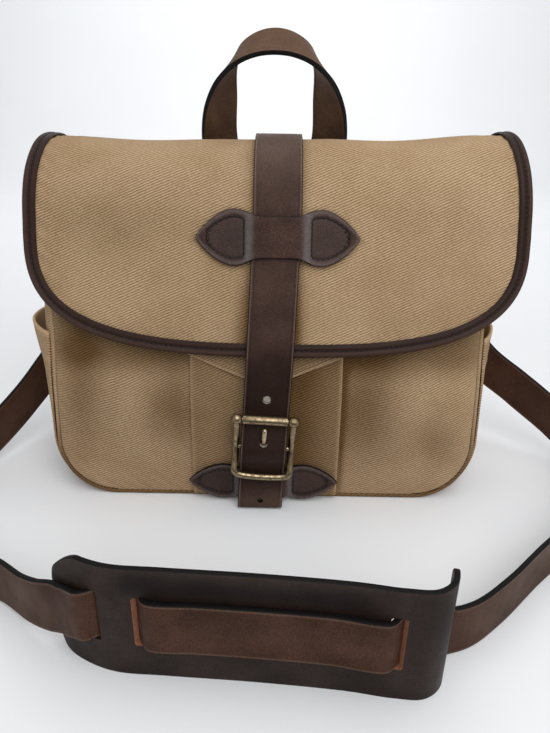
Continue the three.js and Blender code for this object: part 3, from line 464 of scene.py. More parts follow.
def ring(profile, place, sides):
    """Closed ring: a closed profile of (along X, radius) points turned about the X axis through place."""
    turn = np.linspace(0, 2 * np.pi, sides + 1)
    radius = profile[:, 1:]
    points = stack(profile[:, :1], radius * np.cos(turn), radius * np.sin(turn)) + place
    index = np.arange(profile.shape[0] * sides).reshape(-1, sides)
    index = np.vstack([np.hstack([index, index[:, :1]]), np.append(index[0], index[0, 0])])
    faces = quads(index)
    flat = points[:, :-1].reshape(-1, 3)
    uv = np.zeros((len(faces), 4, 2))
    return Shell(flat, faces, uv, {"rim": np.zeros(len(flat)), "under": np.zeros(len(flat))})


def beads(places, along, normal, length, radius):
    """One short bent thread at each place: a small rod set along its own direction, its ends dipping in."""
    x = np.linspace(-0.5, 0.5, 4)
    line = stack(x * (length - 2 * radius), 0, -0.9 * radius * (2 * x) ** 2)
    one = rod(line, radius, (0, 0, 1), sides=2)
    along, normal = unit(along), unit(normal)
    side = np.cross(normal, along)
    axes = np.stack([along, side, normal], axis=1)
    points = places[:, None] + np.einsum("pk,nkc->npc", one.points, axes)
    faces = one.faces[None] + (np.arange(len(places)) * len(one.points))[:, None, None]
    marks = {name: np.tile(m, len(places)) for name, m in one.marks.items()}
    uv = np.tile(one.uv, (len(places), 1, 1))
    return Shell(points.reshape(-1, 3), faces.reshape(-1, 4), uv, marks)


def join(shells):
    """Several closed shells as one mesh."""
    starts = np.cumsum([0] + [len(s.points) for s in shells[:-1]])
    marks = {name: np.concatenate([s.marks[name] for s in shells]) for name in shells[0].marks}
    return Shell(
        np.concatenate([s.points for s in shells]),
        np.concatenate([s.faces + start for s, start in zip(shells, starts)]),
        np.concatenate([s.uv for s in shells]),
        marks,
    )


def make_mesh(name, shell, finish):
    """Puts a shell, in millimetres, into a new object in metres, with its UV map, marks and finish."""
    mesh = bpy.data.meshes.new(name)
    count = len(shell.faces)
    mesh.vertices.add(len(shell.points))
    mesh.vertices.foreach_set("co", (shell.points * MM).astype(np.float32).ravel())
    mesh.loops.add(4 * count)
    mesh.loops.foreach_set("vertex_index", shell.faces.astype(np.int32).ravel())
    mesh.polygons.add(count)
    mesh.polygons.foreach_set("loop_start", np.arange(0, 4 * count, 4, dtype=np.int32))
    mesh.update(calc_edges=True)
    mesh.shade_smooth()
    layer = mesh.uv_layers.new(name="cloth")
    layer.data.foreach_set("uv", shell.uv.astype(np.float32).ravel())
    for mark, values in shell.marks.items():
        held = mesh.attributes.new(mark, "FLOAT", "POINT")
        held.data.foreach_set("value", values.astype(np.float32))
    mesh.materials.append(bpy.data.materials[finish])
    made = bpy.data.objects.new(name, mesh)
    bpy.context.scene.collection.objects.link(made)
    return made


def make_piece(name, shell, finish, slot, *nodes):
    """A finished piece on the bag, in place of its CAD nodes."""
    return settle(make_mesh(name, shell, finish), slot, *nodes)


def settle(piece, slot, *nodes):
    """Rides a piece on the bag and hides the CAD nodes that it stands for; the slot for its finish is not
    used.
    """
    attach(piece, BODY)
    if nodes:
        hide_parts(*nodes)
    return piece


def cut(piece, cutters):
    """Takes closed cutters out of a piece, gives the cut their finish and removes them."""
    held = bpy.data.collections.new("cutters")
    for cutter in cutters:
        held.objects.link(cutter)
    modifier = piece.modifiers.new("cut", "BOOLEAN")
    modifier.operation = "DIFFERENCE"
    modifier.solver = "EXACT"
    modifier.material_mode = "TRANSFER"
    modifier.operand_type = "COLLECTION"
    modifier.collection = held
    graph = bpy.context.evaluated_depsgraph_get()
    mesh = bpy.data.meshes.new_from_object(
        piece.evaluated_get(graph), preserve_all_data_layers=True, depsgraph=graph
    )
    piece.modifiers.clear()
    piece.data = mesh
    mesh.set_sharp_from_angle(angle=math.radians(45))
    bpy.data.collections.remove(held)
    for cutter in cutters:
        bpy.data.objects.remove(cutter)


# Surfaces of the body


def inside_outline(x, z):
    """How far a place on a wall lies inside the body's outline: a box with round lower corners."""
    side = np.abs(x) - (HALF_WIDTH - CORNER_RADIUS)
    under = CORNER_RADIUS - z
    rounding = np.hypot(np.maximum(side, 0), np.maximum(under, 0))
    return CORNER_RADIUS - rounding - np.minimum(np.maximum(side, under), 0)


def pillow(x, z):
    """0 at the seam, rising to 1 inside the wall."""
    inside = np.maximum(inside_outline(x, z) - PANEL_INSET, 0)
    return np.sqrt(1 - np.exp(-inside / PILLOW))


def front_dents(x, z):
    """Depth of the front wall's dents, ridges below 0: a sum of oval bells."""
    return bells(FRONT_DENTS, "deep", x, z)


def front_y(x, z):
    """Front wall: the seam's line, swollen by the pillow, less the dents."""
    swell = read(FRONT_SWELL, "z", "swell", z)
    return read(SEAMS, "z", "front", z) - 1 + (front_dents(x, z) - swell) * pillow(x, z)


def back_y(x, z):
    """Back wall: the seam's line, swollen a little."""
    return read(SEAMS, "z", "back", z) + 1 + BACK_SWELL * pillow(x, z)


def outline_half(z, inset):
    """Half-width of the body's outline at a height, drawn in by an inset."""
    under = np.clip(CORNER_RADIUS - z, 0, CORNER_RADIUS - inset)
    return HALF_WIDTH - CORNER_RADIUS + np.sqrt((CORNER_RADIUS - inset) ** 2 - under**2)


def wall_heights(corner_rows, side_rows):
    """Heights that follow the round corner by even turns, then the straight side by even steps."""
    turn = np.linspace(0, np.pi / 2, corner_rows)
    corner = CORNER_RADIUS - (CORNER_RADIUS - PANEL_INSET) * np.cos(turn)
    return np.concatenate([corner, np.linspace(CORNER_RADIUS, BODY_TOP, side_rows)[1:]])


GUSSET_SIDE = BODY_TOP - CORNER_RADIUS
GUSSET_ARC = CORNER_RADIUS * np.pi / 2
GUSSET_HALF = GUSSET_SIDE + GUSSET_ARC + HALF_WIDTH - CORNER_RADIUS


def gusset_line(t, inset):
    """The U of the gusset, down one side, along the bottom and up the other: (x, z) and its outward way."""
    sign = np.where(t < 0.5, -1.0, 1.0)
    run = GUSSET_HALF * (1 - np.abs(2 * t - 1))
    turn = np.clip((run - GUSSET_SIDE) / CORNER_RADIUS, 0, np.pi / 2)
    nx, nz = sign * np.cos(turn), -np.sin(turn)
    flat = HALF_WIDTH - CORNER_RADIUS - np.maximum(run - GUSSET_SIDE - GUSSET_ARC, 0)
    radius = CORNER_RADIUS - inset
    z = CORNER_RADIUS + np.maximum(GUSSET_SIDE - run, 0) + nz * radius
    return sign * flat + nx * radius, z, nx, nz


def gusset_share(z):
    """Share of the U at which its left side reaches a height."""
    under = np.clip((CORNER_RADIUS - z) / CORNER_RADIUS, 0, 1)
    run = np.where(z >= CORNER_RADIUS, BODY_TOP - z, GUSSET_SIDE + CORNER_RADIUS * np.arcsin(under))
    return run / GUSSET_HALF / 2


def gusset_face(t, across, out, canvas):
    """Gusset, `out` beyond its inner side: bulged between the front seam (-1) and the back seam (1)."""
    x, z, nx, nz = gusset_line(t, canvas)
    clear = PIPING_RADIUS + GAP
    front = read(SEAMS, "z", "front", z) + clear
    back = read(SEAMS, "z", "back", z) - clear
    bulge = np.where(t < 0.5, read(SEAMS, "z", "left", z), read(SEAMS, "z", "right", z))
    swell = bulge * np.maximum(1 - across**2, 0) ** 0.8
    return stack(x + nx * (swell + out), mix(front, back, (across + 1) / 2), z + nz * out)


# Surfaces of the flap

FLAP_MIDDLE = smooth_line(points_of(FLAP_LINE, "y", "z"), 1201)
FLAP_LENGTH = lengths(FLAP_MIDDLE)[-1]
FLAP_WAY = unit(np.gradient(FLAP_MIDDLE, axis=0))
FLAP_SHARES = np.linspace(0, 1, len(FLAP_MIDDLE))


def flap_share(z):
    """Share of the flap's line at which its front comes down to a height."""
    crest = int(np.argmax(FLAP_MIDDLE[:, 1]))
    return float(np.interp(-z, -FLAP_MIDDLE[crest:, 1], FLAP_SHARES[crest:]))


FLAP_WIDEST = flap_share(FLAP_WIDEST_Z)


def on_flap(share, aside, lift):
    """A place on the flap: its middle line swept across, front corners turned back, top raised aside."""
    u = np.clip(share, 0, 1)
    y, z, wy, wz = (np.interp(u, FLAP_SHARES, a) for a in (*FLAP_MIDDLE.T, *FLAP_WAY.T))
    reach = np.abs(aside) / FLAP_HALF_WIDTH
    wrap = FLAP_WRAP * ease(*FLAP_TURN, u) * reach**3
    crest = bump(u - FLAP_CREST, FLAP_CREST_SPREAD)
    rise = (FLAP_LIFT * reach**2 + FLAP_TILT * aside / FLAP_HALF_WIDTH) * crest
    shift = FLAP_SHIFT * ease(0, FLAP_CREST, u)
    return stack(aside + shift, y + lift * wz + wrap, z - lift * wy + rise)


def flap_place(down, across):
    """Share and distance aside at a row (0 to 1 straight-sided, 1 to 2 rounded off) and a column."""
    round_off = np.maximum(1 - np.abs(across) ** FLAP_ROUNDNESS, 0) ** (1 / FLAP_ROUNDNESS)
    end = mix(FLAP_WIDEST, 1, round_off)
    share = np.where(down <= 1, np.clip(down, 0, 1) * FLAP_WIDEST, mix(FLAP_WIDEST, end, down - 1))
    width = read(FLAP_WIDTHS, "at", "share", np.clip(share / FLAP_WIDEST, 0, 1))
    return share, across * FLAP_HALF_WIDTH * width


def flap_columns(count):
    """Columns across the flap, closer together where its lower edge turns up."""
    turn = np.linspace(-FLAP_LAST_TURN, FLAP_LAST_TURN, count)
    return np.sign(turn) * np.abs(np.sin(turn)) ** (2 / FLAP_ROUNDNESS)


def flap_edge(count):
    """Free edge of the flap from hinge end to hinge end, evenly spaced: shares and distances aside."""
    columns = flap_columns(600)
    down = np.linspace(BINDING_FROM, 2, 300)
    left = np.stack(flap_place(down, np.full(300, columns[0])), axis=1)
    lower = np.stack(flap_place(np.full(600, 2.0), columns), axis=1)
    right = left[::-1] * (1, -1)
    edge = np.concatenate([left[:-1], lower, right[1:]])
    run = lengths(on_flap(edge[:, 0], edge[:, 1], 0))
    at = np.linspace(0, run[-1], count)
    return np.interp(at, run, edge[:, 0]), np.interp(at, run, edge[:, 1])


# Shader node groups and materials


def add_node(tree, kind, inputs=None, **settings):
    """One shader node with its settings; an input is a value or another node's socket."""
    made = tree.nodes.new(kind)
    for name, value in settings.items():
        setattr(made, name, value)
    for key, value in (inputs or {}).items():
        if isinstance(value, bpy.types.NodeSocket):
            tree.links.new(value, made.inputs[key])
        else:
            made.inputs[key].default_value = value
    return made


def calc(tree, operation, a, b=0.0, c=0.0):
    """One Math node's result."""
    return add_node(tree, "ShaderNodeMath", {0: a, 1: b, 2: c}, operation=operation).outputs[0]


def blend(tree, share, a, b, mode="MIX"):
    """One colour Mix node's result."""
    made = add_node(tree, "ShaderNodeMix", data_type="RGBA", blend_type=mode)
    for socket, value in zip((made.inputs[0], made.inputs[6], made.inputs[7]), (share, a, b)):
        if isinstance(value, bpy.types.NodeSocket):
            tree.links.new(value, socket)
        else:
            socket.default_value = value
    return made.outputs[2]


def noise(tree, where, scale, detail=2.0, roughness=0.5):
    """One noise texture's value."""
    inputs = {"Vector": where, "Scale": scale, "Detail": detail, "Roughness": roughness}
    return add_node(tree, "ShaderNodeTexNoise", inputs).outputs["Fac"]


def shade_of(colour, share):
    """A colour with a share of its light."""
    return (*(share * c for c in colour[:3]), 1.0)


def span(tree, value, low, high, to_low=0.0, to_high=1.0):
    """A value stretched from one range to another and held there."""
    inputs = {"Value": value, "From Min": low, "From Max": high, "To Min": to_low, "To Max": to_high}
    return add_node(tree, "ShaderNodeMapRange", inputs, interpolation_type="SMOOTHSTEP").outputs["Result"]


def new_group(name, inputs, outputs):
    """Empty shader node group with named sockets."""
    tree = bpy.data.node_groups.new(name, "ShaderNodeTree")
    for socket, kind in inputs:
        tree.interface.new_socket(socket, in_out="INPUT", socket_type=kind)
    for socket in outputs:
        tree.interface.new_socket(socket, in_out="OUTPUT", socket_type="NodeSocketFloat")
    return tree, tree.nodes.new("NodeGroupInput").outputs, tree.nodes.new("NodeGroupOutput").inputs


def twill_group():
    """Twill weave: slanted ribs with dark gaps, each rib made of short turns of thread, with uneven yarn."""
    tree, given, put = new_group(
        "Twill weave",
        [("Cloth", "NodeSocketVector"), ("Pitch", "NodeSocketFloat"), ("Slope", "NodeSocketFloat")],
        ["Height", "Yarn"],
    )
    inputs = {"Vector": given["Cloth"], "Angle": calc(tree, "MULTIPLY", given["Slope"], -1.0)}
    turned = add_node(tree, "ShaderNodeVectorRotate", inputs, rotation_type="Z_AXIS").outputs[0]
    place = add_node(tree, "ShaderNodeSeparateXYZ", {0: turned}).outputs
    wobble = calc(tree, "SUBTRACT", noise(tree, given["Cloth"], 130.0), 0.5)
    phase = calc(tree, "MULTIPLY_ADD", wobble, 0.5, calc(tree, "DIVIDE", place["Y"], given["Pitch"]))
    wave = calc(tree, "SINE", calc(tree, "MULTIPLY", phase, 2 * math.pi))
    rib = span(tree, wave, -0.9, 0.5)
    row = calc(tree, "FLOOR", calc(tree, "ADD", phase, 0.25))
    along = calc(tree, "DIVIDE", place["X"], calc(tree, "MULTIPLY", given["Pitch"], 1.3))
    along = calc(tree, "MULTIPLY_ADD", row, 0.37, along)
    twist = calc(tree, "SINE", calc(tree, "MULTIPLY", along, 2 * math.pi))
    turn = calc(tree, "MULTIPLY_ADD", twist, 0.5, 0.5)
    tree.links.new(calc(tree, "MULTIPLY", rib, calc(tree, "MULTIPLY_ADD", turn, 0.2, 0.8)), put["Height"])
    streak = add_node(tree, "ShaderNodeVectorMath", {0: turned, 1: (0.3, 1.0, 1.0)}, operation="MULTIPLY")
    tree.links.new(noise(tree, streak.outputs[0], 1600.0, 2.0), put["Yarn"])
    return tree


def grain_group():
    """Leather grain: small cells with creases between them, fine pores and slow clouds of tone."""
    tree, given, put = new_group(
        "Leather grain",
        [("Place", "NodeSocketVector"), ("Scale", "NodeSocketFloat")],
        ["Height", "Cloud", "Pore"],
    )
    stray = add_node(tree, "ShaderNodeTexNoise", {"Vector": given["Place"], "Scale": 260.0}).outputs["Color"]
    bent = add_node(tree, "ShaderNodeVectorMath", {0: stray, "Scale": 0.0012}, operation="SCALE")
    inputs = {0: given["Place"], 1: bent.outputs[0]}
    moved = add_node(tree, "ShaderNodeVectorMath", inputs, operation="ADD").outputs[0]
    inputs = {"Vector": moved, "Scale": given["Scale"]}
    voronoi = add_node(tree, "ShaderNodeTexVoronoi", inputs, feature="DISTANCE_TO_EDGE")
    cells = voronoi.outputs["Distance"]
    cell = span(tree, cells, 0.0, 0.28)
    fine = noise(tree, given["Place"], calc(tree, "MULTIPLY", given["Scale"], 2.4), 3.0, 0.6)
    tree.links.new(calc(tree, "MULTIPLY_ADD", fine, 0.6, calc(tree, "MULTIPLY", cell, 0.4)), put["Height"])
    tree.links.new(noise(tree, given["Place"], 26.0, 4.0, 0.62), put["Cloud"])
    tree.links.new(span(tree, fine, 0.62, 0.78), put["Pore"])
    return tree


def wear_and_highlight_group():
    """Mask of rubbing and painted highlight: where a mark is strong, broken up by noise."""
    tree, given, put = new_group(
        "Rubbed edge",
        [("Mark", "NodeSocketFloat"), ("Place", "NodeSocketVector"), ("Fineness", "NodeSocketFloat")],
        ["Mask"],
    )
    broken = noise(tree, given["Place"], given["Fineness"], 4.0, 0.65)
    mask = calc(tree, "MULTIPLY", given["Mark"], span(tree, broken, 0.25, 0.65, 0.5, 1.0))
    tree.links.new(mask, put["Mask"])
    return tree


def group_node(tree, group, **inputs):
    """A node group placed in a material; its outputs."""
    return add_node(tree, "ShaderNodeGroup", inputs, node_tree=bpy.data.node_groups[group]).outputs


def mark(tree, name):
    """One of a piece's own marks."""
    return add_node(tree, "ShaderNodeAttribute", attribute_name=name).outputs["Fac"]


def new_material(name, roughness, **constants):
    """Material with a Principled shader whose constant sockets are set."""
    material = bpy.data.materials.new(name)
    material.use_nodes = True
    tree = material.node_tree
    shader = tree.nodes["Principled BSDF"]
    shader.inputs["Roughness"].default_value = roughness
    for key, value in constants.items():
        shader.inputs[key.replace("_", " ")].default_value = value
    where = add_node(tree, "ShaderNodeTexCoord").outputs
    return material, tree, shader, where


def relief(tree, shader, height, strength, distance):
    """Bump on the shader from a height."""
    inputs = {"Height": height, "Strength": strength, "Distance": distance}
    tree.links.new(add_node(tree, "ShaderNodeBump", inputs).outputs[0], shader.inputs["Normal"])


def canvas_material(name, colour, faded, pitch):
    """Washed twill: slanted ribs, clouds of fading, pale rubbed folds with painted highlights, and soil and
    painted shade in hollows and under things.
    """
    material, tree, shader, where = new_material(name, 0.95, Specular_IOR_Level=0.1)
    weave = group_node(tree, "Twill weave", Cloth=where["UV"], Pitch=pitch, Slope=TWILL_SLOPE)
    cloud = noise(tree, where["Object"], 17.0, 5.0, 0.62)
    tone = blend(tree, span(tree, cloud, 0.35, 0.65), colour, faded)
    ribs = span(tree, weave["Height"], 0.0, 0.85, 0.56, 1.16)
    yarn = span(tree, weave["Yarn"], 0.25, 0.75, 0.78, 1.22)
    shade = calc(tree, "MULTIPLY", ribs, yarn)
    warm = add_node(tree, "ShaderNodeCombineColor")
    for channel, power in enumerate((0.9, 1.0, 1.15)):
        tree.links.new(calc(tree, "POWER", shade, power), warm.inputs[channel])
    tone = blend(tree, 1.0, tone, warm.outputs[0], "MULTIPLY")
    # Soil and painted shade: darker in hollows, under the flap, beside the pleat and the straps, and towards
    # the foot
    tone = blend(tree, mark(tree, "soil"), tone, blend(tree, 1.0, tone, DIRT_AND_SHADE_TINT, "MULTIPLY"))
    rubbed_and_highlit = group_node(tree, "Rubbed edge", Mark=mark(tree, "wear"), Place=where["Object"], Fineness=420.0)
    # Paler where rubbed, and where a highlight is painted
    tone = blend(tree, rubbed_and_highlit["Mask"], tone, shade_of(faded, 1.3))
    tree.links.new(tone, shader.inputs["Base Color"])
    relief(tree, shader, weave["Height"], 0.5, 0.4 * MM)
    return material


def leather_material(name, colour, light, worn, edge, roughness, grain):
    """Oiled leather: grain, clouds where the oil has moved, painted shade, rubbed tops with painted
    highlights and a burnished rim.
    """
    material, tree, shader, where = new_material(name, roughness, Specular_IOR_Level=0.12)
    skin = group_node(tree, "Leather grain", Place=where["Object"], Scale=grain)
    tone = blend(tree, span(tree, skin["Cloud"], 0.36, 0.66), colour, light)
    dark = shade_of(colour, 0.3)
    speck = span(tree, skin["Height"], 0.3, 0.75, 0.72, 1.3)
    grey = add_node(tree, "ShaderNodeCombineColor", {channel: speck for channel in range(3)}).outputs[0]
    tone = blend(tree, 1.0, tone, grey, "MULTIPLY")
    tone = blend(tree, calc(tree, "MULTIPLY", skin["Pore"], 0.4), tone, dark)
    # Painted shade in grooves and creases, under things and on lower parts
    tone = blend(tree, calc(tree, "MULTIPLY", mark(tree, "soil"), 0.8), tone, dark)
    rubbed_and_highlit = group_node(tree, "Rubbed edge", Mark=mark(tree, "wear"), Place=where["Object"], Fineness=700.0)
    # Rubbed places and painted highlights and sheen take the brighter colour
    tone = blend(tree, rubbed_and_highlit["Mask"], tone, worn)
    tone = blend(tree, span(tree, mark(tree, "rim"), 0.1, 0.6), tone, edge)
    tree.links.new(tone, shader.inputs["Base Color"])
    sheen = span(tree, skin["Cloud"], 0.3, 0.75, roughness + 0.1, roughness - 0.1)
    tree.links.new(calc(tree, "MULTIPLY_ADD", skin["Pore"], 0.12, sheen), shader.inputs["Roughness"])
    relief(tree, shader, skin["Height"], 0.4, 0.35 * MM)
    return material


def raw_leather_material(name, colour):
    """Cut fibre of undyed leather."""
    material, tree, shader, where = new_material(name, 0.85)
    fibre = noise(tree, where["Object"], 900.0, 4.0, 0.7)
    dark = shade_of(colour, 0.5)
    tree.links.new(blend(tree, span(tree, fibre, 0.3, 0.65), dark, colour), shader.inputs["Base Color"])
    relief(tree, shader, fibre, 0.5, 0.4 * MM)
    return material


def brass_material(name, bright, dull):
    """Antique brass: dark patina worn through to metal."""
    material, tree, shader, where = new_material(name, 0.35, Metallic=1.0)
    cloud = noise(tree, where["Object"], 420.0, 4.0, 0.6)
    worn = span(tree, cloud, 0.36, 0.64)
    tree.links.new(blend(tree, worn, dull, bright), shader.inputs["Base Color"])
    tree.links.new(span(tree, worn, 0.0, 1.0, 0.44, 0.28), shader.inputs["Roughness"])
    relief(tree, shader, noise(tree, where["Object"], 900.0), 0.06, 0.2 * MM)
    return material


def thread_material(name, colour):
    """Twisted sewing thread."""
    material, tree, shader, where = new_material(name, 0.7)
    twist = noise(tree, where["Object"], 1600.0, 2.0)
    dark = shade_of(colour, 0.55)
    tree.links.new(blend(tree, span(tree, twist, 0.35, 0.65), dark, colour), shader.inputs["Base Color"])
    relief(tree, shader, twist, 0.4, 0.2 * MM)
    return material



# Stitching


def seam(line, normal, pitch, radius):
    """A row of stitches along a line of places with their normals, evenly spaced."""
    run = lengths(line)
    count = max(int(run[-1] / pitch), 1)
    at = (np.arange(count) + 0.5) * run[-1] / count
    normal = np.broadcast_to(normal, line.shape)
    way = np.gradient(line, axis=0)
    places, along, up = (
        np.stack([np.interp(at, run, a[:, k]) for k in range(3)], axis=1) for a in (line, way, normal)
    )
    return beads(places, along, up, STITCH_FILL * pitch, radius)


def face_line(face, a, b, lift, *rest):
    """A line on a surface given as face(a, b, lift, ...), and the surface's normal along it."""
    line = face(a, b, lift, *rest)
    return line, unit(face(a, b, lift + 1.0, *rest) - line)

# Settings


def size(label, text, default):
    """A length in metres."""
    return FloatProperty(
        name=label, description=text, default=default * MM, min=0.0, unit="LENGTH", precision=5
    )


def tint(label, text, default):
    """A linear colour."""
    return FloatVectorProperty(
        name=label, description=text, default=(*default, 1.0), size=4, min=0.0, max=1.0, subtype="COLOR"
    )


class FieldBagSizes(bpy.types.PropertyGroup):
    """Thicknesses and widths of cloth, leather and thread."""

    canvas: size("Canvas", "Thickness of the body's canvas", 2.0)
    flap_canvas: size("Flap canvas", "Thickness of the flap's canvas", 2.2)
    pocket_canvas: size("Pocket canvas", "Thickness of the side pockets' canvas", 1.8)
    pleat_canvas: size("Pleat canvas", "Thickness of the pleat's canvas", 1.2)
    point_canvas: size("Point canvas", "Thickness of the pointed pocket flap", 1.6)
    strap_leather: size("Strap leather", "Thickness of the straps", 3.2)
    strap_width: size("Strap width", "Width of the straps", 32.5)
    keeper_leather: size("Keeper leather", "Thickness of the keeper and the buckle patch", 2.2)
    binding_leather: size("Binding leather", "Thickness of the flap's binding", 1.1)
    chape_leather: size("Chape leather", "Thickness of the leather that holds the buckle", 1.6)
    handle_leather: size("Handle leather", "Thickness of the handle", 3.6)
    pad_leather: size("Pad leather", "Thickness of the shoulder pad", 3.0)
    twill_pitch: size("Twill pitch", "Distance between ribs of the twill", 1.69)
    stitch_pitch: size("Stitch pitch", "Distance between stitches in leather", 3.4)
    hem_pitch: size("Hem pitch", "Distance between stitches in canvas", 2.8)
    thread: size("Thread", "Radius of the sewing thread", 0.5)


class FieldBagColours(bpy.types.PropertyGroup):
    """Colours of the finishes."""

    canvas: tint("Canvas", "Tan twill", (0.378, 0.253, 0.143))
    canvas_faded: tint("Faded canvas", "Tan twill where it has faded", (0.444, 0.307, 0.184))
    leather: tint("Leather", "Oiled strap leather", (0.036, 0.0165, 0.0115))
    leather_light: tint("Light leather", "Strap leather where its oil has gone", (0.060, 0.029, 0.021))
    # Strap leather where rubbed and where a highlight is painted: over the crest, down the tail, along the
    # rims and on the binding's roll
    leather_worn: tint("Worn leather", "Strap leather where it is rubbed", (0.16, 0.105, 0.083))
    # Painted sheen of the keeper: grey reflection on its slopes and highlight along its rims
    leather_gloss: tint("Polished leather", "Keeper leather where it shines", (0.17, 0.152, 0.15))
    slung: tint("Shoulder strap", "Shoulder strap", (0.036, 0.0135, 0.0072))
    slung_light: tint("Light shoulder strap", "Shoulder strap where its oil has gone", (0.060, 0.024, 0.013))
    # Shoulder strap where rubbed, and its painted highlights along the rims and near the sewn ends
    slung_worn: tint("Worn shoulder strap", "Shoulder strap where it is rubbed", (0.155, 0.095, 0.065))
    pad: tint("Pad leather", "Shoulder pad", (0.0165, 0.0094, 0.0074))
    pad_light: tint("Light pad", "Shoulder pad where its oil has gone", (0.0275, 0.0162, 0.0126))
    # Pad where rubbed, and its painted highlight along the top edge
    pad_worn: tint("Worn pad", "Shoulder pad where it is rubbed", (0.052, 0.037, 0.030))
    handle: tint("Handle leather", "Handle", (0.062, 0.031, 0.0175))
    handle_light: tint("Light handle", "Handle where its oil has gone", (0.105, 0.055, 0.030))
    # Handle where rubbed, and painted top light over its crown
    handle_worn: tint("Worn handle", "Handle where it is rubbed", (0.19, 0.100, 0.054))
    edge: tint("Cut edge", "Burnished edge of the leather", (0.006, 0.005, 0.005))
    raw_edge: tint("Raw edge", "Undyed leather in a slot", (0.30, 0.115, 0.055))
    raw_pale: tint("Pale fibre", "Fibre at a punched hole", (0.42, 0.37, 0.32))
    # Brighter brass of the prong: polished, and partly a painted highlight
    brass_bright: tint("Bright brass", "Brass of the prong", (0.86, 0.73, 0.47))
    brass: tint("Brass", "Brass where it is worn", (0.37, 0.285, 0.175))
    brass_dull: tint("Dull brass", "Brass under its patina", (0.20, 0.148, 0.088))
    dark_thread: tint("Dark thread", "Thread in leather", (0.006, 0.005, 0.005))
    pale_thread: tint("Pale thread", "Thread in canvas", (0.40, 0.29, 0.18))
    floor: tint("Floor", "Pale floor", (0.88, 0.885, 0.90))


def bag_sizes(context):
    """Sizes in millimetres by name."""
    sizes = context.scene.field_bag_sizes
    named = {key: getattr(sizes, key) / MM for key in FieldBagSizes.__annotations__}
    return namedtuple("Sizes", named)(**named)


# Finishes and stage


class FIELD_BAG_OT_materials(bpy.types.Operator):
    """Make the finishes of canvas, leather, brass and thread"""

    bl_idname = "field_bag.materials"
    bl_label = "Finishes"

    def execute(self, context):
        for make_group in (twill_group, grain_group, wear_and_highlight_group):
            make_group()
        colours = context.scene.field_bag_colours
        c = {key: tuple(getattr(colours, key)) for key in FieldBagColours.__annotations__}
        canvas_material("twill_canvas", c["canvas"], c["canvas_faded"], bag_sizes(context).twill_pitch * MM)
        for name, (*tones, roughness, grain) in LEATHERS.items():
            leather_material(name, *(c[tone] for tone in tones), roughness, grain)
        raw_leather_material("raw_edge", c["raw_edge"])
        raw_leather_material("pale_fibre", c["raw_pale"])
        brass_material("antique_brass", c["brass"], c["brass_dull"])
        brass_material("bright_brass", c["brass_bright"], c["brass"])
        thread_material("dark_thread", c["dark_thread"])
        thread_material("pale_thread", c["pale_thread"])
        return {"FINISHED"}


class FIELD_BAG_OT_stage(bpy.types.Operator):
    """Make the camera, the floor that sweeps up behind, and soft light from above"""

    bl_idname = "field_bag.stage"
    bl_label = "Stage"

    def execute(self, context):
        self.camera(context)
        self.floor(tuple(context.scene.field_bag_colours.floor))
        for name, light in LIGHTS.items():
            self.light(name, *light)
        world = context.scene.world or bpy.data.worlds.new("studio")
        context.scene.world = world
        world.use_nodes = True
        air = world.node_tree.nodes["Background"].inputs
        air["Color"].default_value = AIR_COLOUR
        air["Strength"].default_value = AIR_STRENGTH
        context.scene.view_settings.view_transform = "Standard"
        return {"FINISHED"}

    def camera(self, context):
        """Camera from its place, pitch and roll."""
        lens = bpy.data.cameras.new("camera")
        lens.sensor_width = CAMERA_SENSOR
        lens.lens = CAMERA_LENS
        camera = bpy.data.objects.new("camera", lens)
        turn = Matrix.Rotation(CAMERA_PITCH, 4, "X") @ Matrix.Rotation(CAMERA_ROLL, 4, "Z")
        camera.matrix_world = Matrix.Translation(CAMERA_PLACE) @ turn
        context.scene.collection.objects.link(camera)
        context.scene.camera = camera

    def floor(self, colour):
        """Flat floor, a quarter round and a wall, carried along X."""
        wide, front, back, bend, tall = 4000.0, -2500.0, 1500.0, 700.0, 2600.0
        turn = np.linspace(0, np.pi / 2, 25)
        y = np.concatenate([[front], back + bend * np.sin(turn), [back + bend]])
        z = np.concatenate([[0], bend - bend * np.cos(turn), [tall]])
        x = np.linspace(-wide, wide, 3)
        points = stack(x[:, None], y, z)
        faces = quads(np.arange(points.shape[0] * points.shape[1]).reshape(points.shape[:2]))
        shell = Shell(points.reshape(-1, 3), faces, np.zeros((len(faces), 4, 2)), {})
        tree, shader, where = new_material("floor", 0.6)[1:]
        cloud = span(tree, noise(tree, where["Object"], 3.0), 0.3, 0.7)
        tree.links.new(blend(tree, cloud, colour, shade_of(colour, 0.98)), shader.inputs["Base Color"])
        make_mesh("floor", shell, "floor")

    def light(self, name, place, target, wide, power):
        """Square lamp at a place, turned to its target."""
        lamp = bpy.data.lights.new(name, "AREA")
        lamp.shape = "SQUARE"
        lamp.size = wide
        lamp.energy = power
        held = bpy.data.objects.new(name, lamp)
        way = Vector(place) - Vector(target)
        held.matrix_world = Matrix.Translation(place) @ way.to_track_quat("Z", "Y").to_matrix().to_4x4()
        bpy.context.scene.collection.objects.link(held)


# Shoulder pad and strap

PAD_EDGE = smooth_line(points_of(PAD_LINE, "x", "y"), 801)
PAD_LENGTH = lengths(PAD_EDGE)[-1]
PAD_WAY = unit(np.gradient(PAD_EDGE, axis=0))
PAD_SHARES = np.linspace(0, 1, len(PAD_EDGE))


def on_pad(share, height, behind):
    """A place on the pad: its line on the floor raised upright, set back along the line's normal."""
    x, y, wx, wy = (np.interp(share, PAD_SHARES, a) for a in (*PAD_EDGE.T, *PAD_WAY.T))
    return stack(x - wy * behind, y + wx * behind, height)


def pad_share(x):
    """Share of the pad's line at which it passes an X."""
    return np.interp(x, PAD_EDGE[:, 0], PAD_SHARES)


